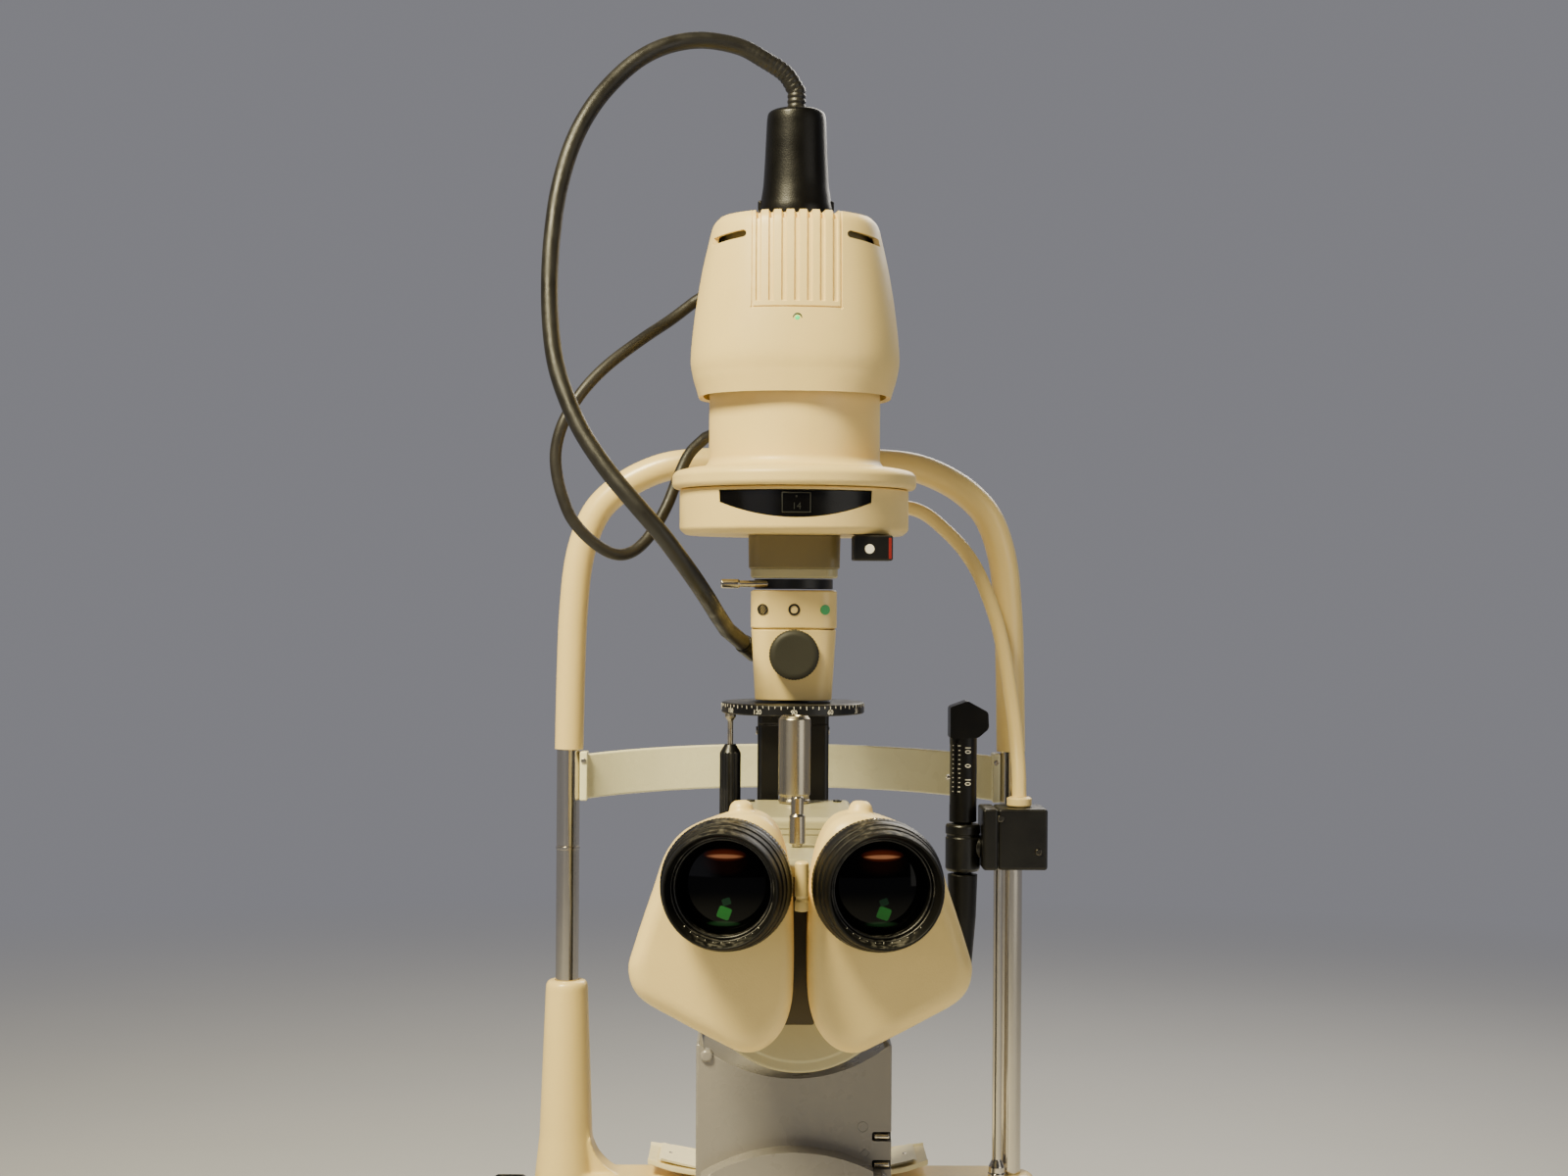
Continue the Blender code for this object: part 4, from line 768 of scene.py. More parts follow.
def make_studio():
    """A pale floor that fades into the backdrop's own light, so that no horizon shows."""
    work = bmesh.new()
    bmesh.ops.create_circle(work, cap_ends=True, segments=96, radius=60.0)
    floor = bpy.data.objects.new("floor", mesh_from(work))
    floor.location = (0, 0, low("base_board").z - 0.0005)
    look = Look("pale_floor", None, (0.62, 0.62, 0.64), 0.7).blotched(0.02, 3.0).glossed(0.05).done()
    length = look.node("VectorMath", operation="LENGTH")
    look.wire(look.place, length.inputs[0])
    glow = look.node("Emission")
    glow.inputs["Color"].default_value = (*BACKDROP, 1.0)
    glow.inputs["Strength"].default_value = BACKDROP_STRENGTH
    mix = look.node("MixShader")
    look.wire(look.ranged(length.outputs["Value"], 0.9, 2.8), mix.inputs["Fac"])
    look.wire(look.shader.outputs["BSDF"], mix.inputs[1])
    look.wire(glow.outputs["Emission"], mix.inputs[2])
    look.wire(mix.outputs["Shader"], look.tree.nodes["Material Output"].inputs["Surface"])
    floor.data.materials.append(look.material)
    bpy.context.scene.collection.objects.link(floor)
    make_surround()
    focus = (0, 0.05, 0.5)
    for name, place, size, power, tint in (
        ("key", (-0.72, -0.80, 1.78), (0.5, 0.5), 78.0, (1.0, 0.89, 0.55)),
        ("fill", (1.5, -1.2, 0.8), (1.2, 1.2), 6.0, (1.0, 0.96, 0.86)),
        ("back", (0.7, 1.6, 1.5), (1.2, 0.8), 18.0, (1.0, 0.95, 0.86)),
    ):
        area_light(name, place, focus, size, power, tint)


def make_surround():
    """The studio round the object: a plain backdrop behind it, and a darker room with one soft window
    on the examiner's left for the metal to reflect."""
    world = bpy.data.worlds.new("studio")
    world.use_nodes = True
    tree = world.node_tree
    background = tree.nodes["Background"]
    background.inputs["Color"].default_value = (*BACKDROP, 1.0)
    way = tree.nodes.new("ShaderNodeTexCoord").outputs["Generated"]

    def share(direction, start, end, low_value, high_value):
        """How much light comes from round a direction."""
        dot = tree.nodes.new("ShaderNodeVectorMath")
        dot.operation = "DOT_PRODUCT"
        dot.inputs[1].default_value = direction
        tree.links.new(way, dot.inputs[0])
        ranged = tree.nodes.new("ShaderNodeMapRange")
        ranged.interpolation_type = "SMOOTHSTEP"
        for key, value in zip(("From Min", "From Max", "To Min", "To Max"),
                              (start, end, low_value, high_value)):
            ranged.inputs[key].default_value = value
        tree.links.new(dot.outputs["Value"], ranged.inputs["Value"])
        return ranged.outputs["Result"]

    backdrop = share((0.0, 1.0, 0.0), -0.1, 0.6, 0.10, BACKDROP_STRENGTH)
    window = share((-0.62, -0.78, 0.0), 0.90, 0.985, 0.0, 1.1)
    total = tree.nodes.new("ShaderNodeMath")
    total.operation = "ADD"
    tree.links.new(backdrop, total.inputs[0])
    tree.links.new(window, total.inputs[1])
    tree.links.new(total.outputs["Value"], background.inputs["Strength"])
    bpy.context.scene.world = world


# ---- cords --------------------------------------------------------------------------------------
def cord_curve(name, route, diameter):
    """A round cord along a smoothed route."""
    curve = bpy.data.curves.new(name, "CURVE")
    curve.dimensions = "3D"
    curve.bevel_depth = diameter / 2
    curve.bevel_resolution = 6
    curve.use_fill_caps = True
    points = [route[0], *smooth(route[1:-1], 6), route[-1]]
    spline = curve.splines.new("POLY")
    spline.points.add(len(points) - 1)
    for point, place in zip(spline.points, points):
        point.co = (*place, 1.0)
    spline.use_smooth = True
    return curve


def make_cords():
    guide = piece("light_guide_cable", cord_curve("light_guide_cable", GUIDE_ROUTE, GUIDE_DIAMETER),
                  "guide", "tower", "light_guide")
    lead = piece("lamp_lead_cable", cord_curve("lamp_lead_cable", LEAD_ROUTE, LEAD_DIAMETER),
                 "lead", "tower", "lamp_lead")

    pitch = 0.0026
    depth = 0.0005
    half = GUIDE_DIAMETER / 2

    def ribbed(walked):
        """The bend relief's ribs fade out along the guide."""
        fade = max(0.0, 1 - walked / 0.044)
        return half + 0.00006 + depth * fade * abs(math.sin(math.pi * walked / pitch))

    route = [GUIDE_ROUTE[0], *smooth(GUIDE_ROUTE[1:8], 24)]
    walked = 0.0
    stretch = [Vector(route[0])]
    for before, after in zip(route, route[1:]):
        walked += (Vector(after) - Vector(before)).length
        if walked > 0.052:
            break
        stretch.append(Vector(after))
    piece("guide_bend_relief", sweep(even_steps(stretch, pitch / 6), ribbed, 24), "guide", "tower", sharp=60)


def make_gland(name, end, following, length, rim, edge):
    """The socket that a cord's end goes into, aimed along the cord's last stretch."""
    inward = (Vector(end) - Vector(following)).normalized()
    gland = turned([(0, length), (rim[0][0], length), *rim, (0, 0.0)], edge, 40)
    piece(name, placed(gland, Vector(end) + inward * GAP, inward), "matt", "tower")


def even_steps(points, step):
    """The line through points, cut into equal short lengths."""
    found = [points[0]]
    need = step
    for before, after in zip(points, points[1:]):
        span = after - before
        while span.length > 0 and need <= span.length:
            found.append(before + span.normalized() * need)
            need += step
        need -= span.length
    return found


# ---- board, rails and headrest ------------------------------------------------------------------
def cap_screw(place, aim, radius=0.0022, height=0.0014):
    """A socket-head screw: a rounded cap with a hexagon hole."""
    profile = soften([(0, height), (radius, height), (radius, 0), (0, 0)], height * 0.4)
    hole = lathe([(0, height + 0.001), (radius * 0.5, height + 0.001), (radius * 0.5, height * 0.3),
                  (0, height * 0.3)], 6)
    return placed(carved(lathe(profile, 24), hole), place, aim)


def make_board():
    lower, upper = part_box("base_board")
    half = (upper - lower) / 2
    band = 0.0016
    top = slab(box_outline(half.x - band, half.y - band, 0.022), lower.z + 0.0004, upper.z, 0.0012)
    piece("board_top", top, "board", "stand", "base_board")
    outer = slab(box_outline(half.x, half.y, 0.024), lower.z, upper.z - 0.0006, 0.0008)
    inner = slab(box_outline(half.x - band, half.y - band, 0.0225), lower.z - 0.01, upper.z + 0.01)
    piece("board_edging", carved(outer, inner), "edge", "stand")

    for name in ("rail_left", "rail_right"):
        lower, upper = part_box(name)
        centre = (lower + upper) / 2
        bed = brick(lower, (upper.x, upper.y, lower.z + 0.006), 0.0010)
        pitch = 0.0022
        start, end = lower.y + 0.009, upper.y - 0.009
        count = int((end - start) / pitch)
        base, tip, foot = lower.z + 0.0120, lower.z + 0.0100, lower.z + 0.005
        teeth = []
        for k in range(count):
            y = start + k * pitch
            teeth += [(y, tip), (y + pitch * 0.3, base), (y + pitch * 0.7, base)]
        teeth += [(start + count * pitch, tip), (start + count * pitch, foot), (start, foot)]
        rack = slab(teeth, centre.x - 0.008, centre.x + 0.008, plane="YZ")
        stops = []
        screws = []
        for y in (lower.y + 0.006, upper.y - 0.006):
            stops.append(brick((centre.x - 0.015, y - 0.003, foot),
                               (centre.x + 0.015, y + 0.003, upper.z), 0.0010))
            screws += [cap_screw((centre.x + x, y + math.copysign(0.0125, centre.y - y), lower.z + 0.006),
                                 (0, 0, 1), 0.0026) for x in (-0.013, 0.013)]
        piece(f"{name}_bed", united(bed, *stops), "rail", "stand", name)
        piece(f"{name}_rack", rack, "rail", "stand", even=False)
        piece(f"{name}_screws", merged(*screws), "black", "stand")


def make_headrest():
    column_x = mid("right_column").x
    frame_low, frame_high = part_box("headrest_frame")
    floor_z = frame_low.z
    bar_top = low("right_column").z - GAP
    bar_low = bar_top - 0.031
    bar = slab(arc((-column_x, 0), 0.013, 90, 270, 16) + arc((column_x, 0), 0.013, -90, 90, 16),
               bar_low, bar_top, 0.004, 4)
    left = turned([
        (0, frame_high.z), (0.0092, frame_high.z), (0.0109, frame_high.z - 0.002), (0.0138, 0.250),
        (0.0165, 0.225), (0.0175, 0.190), (0.0175, 0.045), (0.024, 0.036), (0.024, floor_z), (0, floor_z),
    ], 0.0015, 72)
    right = turned([
        (0, 0.215), (0.0125, 0.215), (0.0165, 0.190), (0.0175, 0.170), (0.0175, 0.045), (0.024, 0.036),
        (0.024, floor_z), (0, floor_z),
    ], 0.0015, 72)
    corner = Vector((-column_x + 0.0105, bar_top - 0.004))
    fillet = [corner] + arc(corner + Vector((0.026, 0.026)), 0.0235, 180, 270, 16)
    web = slab(fillet, -0.008, 0.008, plane="XZ")
    solids = [bar, web, placed(left, (-column_x, 0, 0)), placed(right, (column_x, 0, 0))]
    column = (high("left_column").x - low("left_column").x) / 2
    cutters = [
        rod(column, (-column_x, 0, 0.300), (-column_x, 0, 0.34)),
        rod(0.0065, (0, 0, 0.19), (0, 0, 0.24)),
        rod(0.0040, (-column_x - 0.03, 0, 0.215), (-column_x + 0.03, 0, 0.215)),
    ]
    body = cast(solids, cutters, 0.0011, 3)
    piece("headrest_casting", placed(body, (0, PIVOT_Y, 0)), "enamel", "stand", "headrest_frame")
    screws = []
    for side in (LEFT, RIGHT):
        for k in range(3):
            angle = math.radians(90 + 120 * k)
            place = Vector((side * column_x, PIVOT_Y, 0.0360))
            place += Vector((math.cos(angle), math.sin(angle), 0)) * 0.0205
            screws.append(cap_screw(place, (0, 0, 1), 0.0018))
    piece("pillar_screws", merged(*screws), "black", "stand")

    make_columns(column_x)
    make_arch()
    make_band()


def make_columns(column_x):
    for side, name in ((LEFT, "left_column"), (RIGHT, "right_column")):
        lower, upper = low(name).z, high(name).z
        radius = (high("right_column").x - low("right_column").x) / 2
        profile = [(0, upper), (radius, upper)]
        if side == LEFT:
            seam = 0.3995
            profile += [(radius, seam + 0.0012), (radius - 0.0003, seam + 0.0010),
                        (radius - 0.0003, seam + 0.0006), (radius + 0.0003, seam + 0.0004),
                        (radius + 0.0003, seam - 0.0008), (radius, seam - 0.0010)]
        profile += [(radius, lower), (0, lower)]
        piece(f"{name}_tube", placed(lathe(profile), (side * column_x, PIVOT_Y, 0)), "chrome", "stand", name)
    lower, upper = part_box("guide_rod")
    middle = (lower + upper) / 2
    shape = turned([
        (0, upper.z), (0.0025, upper.z), (0.0025, 0.2400), (0.0042, 0.2365), (0.0042, 0.2335),
        (0.0046, 0.2330), (0.0046, lower.z), (0, lower.z),
    ], 0.0005, 40)
    piece("guide_rod_chromed", placed(shape, (middle.x, middle.y, 0)), "chrome", "stand", "guide_rod")


def make_arch():
    lower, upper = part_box("headrest_arch")
    radius = (upper.y - lower.y) / 2
    foot_x = upper.x - radius
    half = [(foot_x, lower.z), (foot_x - 0.0007, 0.490), (0.1133, 0.522), (0.1103, 0.550), (0.1033, 0.571),
            (0.0925, 0.5838), (0.0770, 0.5935), (0.0590, 0.5990), (0.0300, 0.6005)]
    points = [(-x, PIVOT_Y, z) for x, z in half] + [(x, PIVOT_Y, z) for x, z in reversed(half)]
    route = smooth(points, 8)
    piece("headrest_arch_tube", sweep(route, radius - 0.00005, 32), "enamel", "stand", "headrest_arch",
          sharp=60)
    lower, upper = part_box("fixation_bracket")
    clamp = slab(box_outline(0.008, 0.0075, 0.0025, centre=(0, (lower.z + upper.z) / 2)),
                 lower.y, upper.y, 0.0008, plane="XZ")
    split = lower.z + 0.0077
    lip = brick((-0.0080, upper.y - 0.0010, split - 0.0004), (0.0080, upper.y + 0.0001, split + 0.0004),
                0.0002)
    knob = turned([(0, 0.0), (0.0042, 0.0), (0.0046, -0.0010), (0.0046, -0.0050), (0, -0.0050)], 0.0004,
                  ridges=(22, 0.0003, -0.0045, -0.0008))
    screws = [cap_screw((x, upper.y - 0.0002, z), (0, 1, 0), 0.0016, 0.0010)
              for x in (-0.005, 0.005) for z in (lower.z + 0.0035, upper.z - 0.0035)]
    piece("arch_clamp", united(clamp, lip), "black", "stand", "fixation_bracket")
    piece("arch_clamp_screws", merged(*screws, placed(knob, (0, lower.y + 0.0002, mid("fixation_bracket").z),
                                                        (0, -1, 0))), "matt", "stand")


def make_band():
    """The forehead band: a springy strip, bowed away from the examiner and a little raised mid-way."""
    lower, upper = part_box("forehead_band")
    half = upper.x - 0.0022
    bow = upper.y - PIVOT_Y - 0.0016
    radius = (half ** 2 + bow ** 2) / (2 * bow)
    height = upper.z - lower.z - 0.0022
    rise = 0.0030
    sweep_angle = math.asin(half / radius)
    rings = []
    for k in range(65):
        angle = sweep_angle * (2 * k / 64 - 1)
        share = angle / sweep_angle
        middle = Vector((radius * math.sin(angle), PIVOT_Y + bow - radius + radius * math.cos(angle)))
        out = Vector((math.sin(angle), math.cos(angle)))
        z = lower.z + 0.0006 + height / 2 + rise * (1 - share ** 2)
        section = box_outline(0.0014, height / 2, 0.0011, 4)
        rings.append([(middle.x + out.x * p.x, middle.y + out.y * p.x, z + p.y) for p in section])
    tabs = []
    screws = []
    for side in (LEFT, RIGHT):
        edges = sorted((side * upper.x, side * (upper.x - 0.0040)))
        tabs.append(brick((edges[0], PIVOT_Y - 0.0050, lower.z), (edges[1], PIVOT_Y + 0.0050, upper.z),
                          0.0008))
        screws.append(cap_screw((side * (upper.x - 0.0020), PIVOT_Y - 0.0049, mid("forehead_band").z + 0.008),
                                (0, -1, 0), 0.0014, 0.0008))
    piece("forehead_strip", united(loft(rings), *tabs), "band", "stand", "forehead_band")
    piece("band_screws", merged(*screws), "steel_y", "stand")


def make_chinrest():
    lower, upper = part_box("chinrest")
    half = upper.x
    seat = low("right_column").z
    rings = []
    floor = 0.2338
    lift = upper.z - floor

    def trough(share, drop, inset):
        """A point of the cup: flat in the middle, rising to both ends."""
        rise = max(0.0, (abs(share) - 0.45) / 0.55) ** 1.5
        return share * (half - inset), floor + lift * rise - drop

    for k in range(49):
        share = 2 * k / 48 - 1
        x, z = trough(share, 0.0, 0.0004)
        under = z - 0.0022 - 0.0010 * abs(share)
        y_half = (upper.y - lower.y) / 2 * (1 - 0.22 * max(0.0, abs(share) - 0.82) / 0.18)
        section = [(-y_half, z), (-y_half + 0.0030, z - 0.0011), (y_half - 0.0030, z - 0.0011), (y_half, z),
                   (y_half, under + 0.0004), (y_half - 0.0010, under), (-y_half + 0.0010, under),
                   (-y_half, under + 0.0004)]
        rings.append([(x, mid("chinrest").y + p.x, p.y) for p in soften(section, 0.0006, True, 3)])
    stem = placed(turned([(0, 0.2330), (0.0060, 0.2330), (0.0060, lower.z), (0, lower.z)], 0.0006, 40),
                  (0, PIVOT_Y, 0))
    socket = placed(turned([(0, 0.2322), (0.0120, 0.2322), (0.0100, seat + 0.0006), (0, seat + 0.0006)],
                           0.0006, 48), (0, PIVOT_Y, 0))
    piece("chin_cup", loft(rings), "cup", "chin", "chinrest")
    piece("chin_stem", stem, "steel_z", "chin")
    piece("chin_cup_socket", socket, "cup", "chin")
    papers = []
    for layer in range(3):
        rings = []
        for k in range(41):
            share = 2 * k / 40 - 1
            x, z = trough(share, 0.0007 - 0.00022 * layer, 0.0060 + 0.0006 * layer)
            y = mid("chinrest").y
            wide = 0.0165 - 0.0004 * layer
            rings.append([(x, y - wide, z), (x, y + wide, z), (x, y + wide, z - 0.00012),
                          (x, y - wide, z - 0.00012)])
        papers.append(loft(rings))
    piece("chin_papers", merged(*papers), "paper", "chin")
    pins = []
    for side in (LEFT, RIGHT):
        x, y = side * 0.0615, mid("chinrest").y
        pins.append(rod(0.0013, (x, y, 0.2350), (x, y, 0.2392), 20, 0.0005))
    piece("chin_paper_pins", merged(*pins), "chrome", "chin")

    lower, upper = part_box("chin_height_knob")
    radius = (upper.z - lower.z) / 2
    length = 0.0170
    knob = turned([(0, length - 0.001), (0.0080, length - 0.001), (0.0090, length),
                   (radius - 0.0012, length), (radius, length - 0.0018), (radius, 0.0018),
                   (radius - 0.0012, 0.0), (0.0034, 0.0), (0.0034, -0.0250), (0, -0.0250)], 0.0006,
                  ridges=(30, 0.0006, 0.0010, length - 0.0010))
    knob = placed(knob, (lower.x + length, PIVOT_Y, mid("chin_height_knob").z), (-1, 0, 0))
    piece("chin_knob_fluted", knob, "matt", "chin_knob", "chin_height_knob")


# ---- fixation target ----------------------------------------------------------------------------
def make_fixation():
    """The bent arm down from the arch, and what hangs on it."""
    end_x, foot_y, end_z = 0.1150, 0.131, 0.4300
    y = PIVOT_Y
    route = [(0.000, y, 0.5705), (0.030, y - 0.001, 0.5765), (0.0620, y - 0.004, 0.5768),
             (0.0802, y - 0.006, 0.5650), (0.0943, y - 0.009, 0.5477), (0.1037, y - 0.014, 0.5249),
             (0.1085, y - 0.019, 0.5054), (0.1120, y - 0.024, 0.4820), (0.1143, y - 0.0300, 0.4600),
             (end_x, y - 0.0365, 0.4420), (end_x, foot_y, end_z)]
    arm = sweep(smooth(route, 8), 0.00362, 24)
    hub = turned([(0, 0.5765), (0.0060, 0.5765), (0.0060, 0.5655), (0, 0.5655)], 0.0008, 48)
    collar = turned([(0, 0.4306), (0.0050, 0.4306), (0.0063, 0.4298), (0.0063, 0.4264), (0.0058, 0.4258),
                     (0, 0.4258)], 0.0003, 48)
    shape = united(arm, placed(hub, (0, y, 0)), placed(collar, (end_x, foot_y, 0)))
    piece("fixation_arm_tube", shape, "enamel", "fixation_arm", "fixation_arm", sharp=45)
    make_fixation_box()
    make_target()


def make_fixation_box():
    box_low, box_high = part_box("fixation_box")
    split = 0.1030
    parts = [brick(box_low, (split, box_high.y, box_high.z), 0.0014),
             brick((split + 0.0002, box_low.y + 0.0012, box_low.z), (0.1279, box_high.y, box_high.z), 0.0014)]
    core = brick((split - 0.003, box_low.y + 0.002, box_low.z + 0.001),
                 (split + 0.003, box_high.y - 0.001, box_high.z - 0.001), 0.0003)
    piece("fixation_box_shell", united(parts[0], core, parts[1]), "black", "fixation_box", "fixation_box")
    screws = [cap_screw((x, box_low.y + 0.0010, z), FRONT, 0.0017, 0.0009)
              for x, z in ((0.1042, 0.4207), (0.1232, 0.4042))]
    piece("fixation_box_screws", merged(*screws), "dark_steel", "fixation_box")


def make_target():
    """The target's clamp, its slotted tube with a scale, and the pin that slides in the slot."""
    end_y = mid("target_tube").y
    clamp_low, clamp_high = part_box("target_clamp")
    axis = Vector((0.0866, end_y, 0))
    radius = axis.x - clamp_low.x
    profile = [(0.0050, clamp_high.z), (radius - 0.0006, clamp_high.z), (radius, clamp_high.z - 0.0010),
               (radius, clamp_high.z - 0.0048), (radius - 0.0005, clamp_high.z - 0.0052),
               (radius - 0.0005, clamp_high.z - 0.0064), (radius, clamp_high.z - 0.0068),
               (radius, clamp_low.z + 0.0014), (radius - 0.0010, clamp_low.z), (0.0050, clamp_low.z)]
    ring = placed(turned(profile, 0.0004, closed=True), axis)
    boss = rod(0.0060, (0.0900, end_y, mid("fixation_box").z - 0.005), (clamp_high.x, end_y, 0.4052), 40,
               0.0005)
    bore = rod(0.0050, (axis.x, end_y, 0.38), (axis.x, end_y, 0.43), 40)
    piece("target_clamp_ring", carved(united(ring, boss), bore), "black", "target_clamp", "target_clamp")

    barrel = turned([(0, 0.4626), (0.00665, 0.4626), (0.00685, 0.4610), (0.00685, 0.4180),
                     (0.0046, 0.4176), (0.0046, 0.3920), (0.0075, 0.3915), (0.0068, 0.3700),
                     (0.0048, 0.3458), (0, 0.3455)], 0.0004, 64)
    hood = soften([(-0.0072, 0.0158), (0.0015, 0.0190), (0.0118, 0.0134), (0.0122, 0.0052),
                   (0.0069, 0.0006), (-0.0072, 0.0)], 0.0010, True)
    hood = slab(hood, -0.0075, 0.0075, 0.0012, 3, plane="XZ")
    slot = slab(box_outline(0.0007, 0.0130, 0.0006, centre=(-0.0040, 0.4450)), -0.0080, -0.0040, plane="XZ")
    barrel = carved(united(placed(barrel, axis), placed(hood, (axis.x, end_y, 0.4600))), placed(slot, axis))
    cut_back = brick((0.0745, end_y - 0.0022, 0.4265), (0.0802, end_y + 0.0022, 0.4570), 0.0004)
    piece("target_barrel", carved(barrel, cut_back), "matt", "target_tube", "target_tube")
    marks = []
    for k in range(11):
        z = 0.4335 + 0.0023 * k
        for x, wide in ((-0.0054, 0.0007), (-0.0025, 0.0010 if k % 5 else 0.0016)):
            depth = math.sqrt(max(0.0, 0.00685 ** 2 - x ** 2))
            marks.append(brick((x - wide / 2, -depth - SKIN, z - 0.0002),
                               (x + wide / 2, -depth + 0.0003, z + 0.0002), 0.00005, 1))
    for text, z in (("10", 0.4545), ("0", 0.4465), ("10", 0.4385)):
        marks.append(digits(text, 0.0040, (0.0016, -0.00672 - SKIN, z), (0, 0, -1), (1, 0, 0)))
    piece("target_scale_marks", placed(merged(*marks), axis), "white", "target_tube")

    pin = turned([(0, 0.0034), (0.0013, 0.0034), (0.0013, 0.0), (0, 0.0)], 0.0004, 28)
    pin = placed(pin, (high("diopter_pin").x, mid("diopter_pin").y, mid("diopter_pin").z), (-1, 0, 0))
    piece("diopter_slide_pin", pin, "chrome", "diopter_pin", "diopter_pin")


# ---- cross slide, base and joystick -------------------------------------------------------------
def knob_profile(radius, depth, shaft, reach, dish=0.0008):
    """A knob with a dished cap over a shaft that reaches back from it."""
    return soften([
        (0, depth - dish), (radius * 0.62, depth - dish), (radius * 0.70, depth), (radius - 0.0012, depth),
        (radius, depth - 0.0014), (radius, 0.0014), (radius - 0.0012, 0.0), (shaft, 0.0), (shaft, -reach),
        (0, -reach),
    ], 0.0006)


def fluted_knob(name, place, aim, radius, depth, shaft, reach, body, node, flutes):
    """Shows a matt knob with that many flutes round its rim."""
    shape = lathe(knob_profile(radius, depth, shaft, reach), ridges=(flutes, 0.0005, 0.0009, depth - 0.0009))
    piece(name, placed(shape, place, aim), "matt", body, node)


def make_cross_slide():
    lower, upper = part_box("cross_tube")
    centre = (lower + upper) / 2
    radius = upper.z - centre.z
    length = upper.x
    shape = turned([(0.0068, length), (radius, length), (radius, -length), (0.0068, -length)], 0.0008, 64,
                   closed=True)
    tube = placed(shape, centre, (1, 0, 0))
    piece("cross_tube_ground", tube, "steel_x", "cross_slide", "cross_tube")
    end = high("wheel_axle").x
    wheel = mid("wheel_axle").z - low("wheel_axle").z
    teeth = []
    for side in (LEFT, RIGHT):
        shape = turned([(0, 0.0200), (0.0105, 0.0200), (0.0125, 0.0180), (wheel, 0.0172), (wheel, 0.0022),
                        (0.0125, 0.0010), (0, 0.0010)], 0.0005, ridges=(44, 0.0010, 0.0022, 0.0172))
        teeth.append(placed(shape, (side * (end - 0.0200), centre.y, centre.z), (side, 0, 0)))
    shaft = rod(0.0062, (-end + 0.012, centre.y, centre.z), (end - 0.012, centre.y, centre.z), 40)
    piece("toothed_wheels", merged(*teeth, shaft), "steel_x", "axle", "wheel_axle")


def make_base():
    lower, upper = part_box("base_casting")
    top = BASE_TOP
    right = [(0.055, lower.y), (0.070, lower.y + 0.010), (0.076, lower.y + 0.030), (0.076, 0.045),
             (0.068, 0.068), (0.046, 0.100), (0.038, 0.125), (0.038, PIVOT_Y)]
    right = soften(right, 0.014, parts=6)
    nose = arc((0, PIVOT_Y), 0.0376, 12, 168, 28)
    outline = right + nose + [Vector((-p.x, p.y)) for p in reversed(right)]
    shell = slab(outline, lower.z, top, 0.008, 5)
    boss = placed(turned([(0, upper.z), (0.026, upper.z), (0.030, upper.z - 0.003), (0.034, top - 0.004),
                          (0, top - 0.004)], 0.002), (0, PIVOT_Y, 0))
    axle = mid("cross_tube")
    joystick = mid("joystick_ball")
    inset_centre = (0, -0.045)
    cutters = [
        rod(0.0167, (0, PIVOT_Y, 0.020), (0, PIVOT_Y, 0.12), 64),
        rod(0.0127, (-0.1, axle.y, axle.z), (0.1, axle.y, axle.z), 64),
        rod(0.0230, (0, joystick.y, 0.01), (0, joystick.y, 0.09), 64),
        rod(SHANK_BORE, (0.060, LOCK.y, LOCK.z), (0.090, LOCK.y, LOCK.z), 32),
        rod(SHANK_BORE, (DIAL.x, DIAL.y, 0.062), (DIAL.x, DIAL.y, 0.09), 32),
    ]
    inset = slab(box_outline(0.052, 0.030, 0.010, centre=inset_centre), top - 0.0006, top + 0.01)
    shell = carved(united(shell, boss), *cutters, inset)
    piece("base_cover", shell, "cream", "base", "base_casting")
    plate = slab(box_outline(0.0515, 0.0295, 0.0096, centre=inset_centre), top - 0.0012, top + 0.0001, 0.0003)
    piece("base_top_plate", plate, "shade", "base")
    screws = [cap_screw((x, y, top), (0, 0, 1), 0.0024, 0.0011)
              for x in (-0.046, 0.046) for y in (-0.069, -0.021)]
    screws += [cap_screw((side * 0.052, 0.060, top - 0.0003), (0, 0, 1), 0.0028, 0.0012)
               for side in (LEFT, RIGHT)]
    piece("base_screws", merged(*screws), "black", "base")
    bezel = turned([(0.0226, top + 0.0016), (0.0262, top + 0.0016), (0.0282, top - 0.0004),
                    (0.0282, top - 0.001), (0.0226, top - 0.001)], 0.0006, closed=True)
    piece("joystick_bezel", placed(bezel, (0, joystick.y, 0)), "matt", "base")
    make_joystick()
    make_base_controls()
    make_lift()


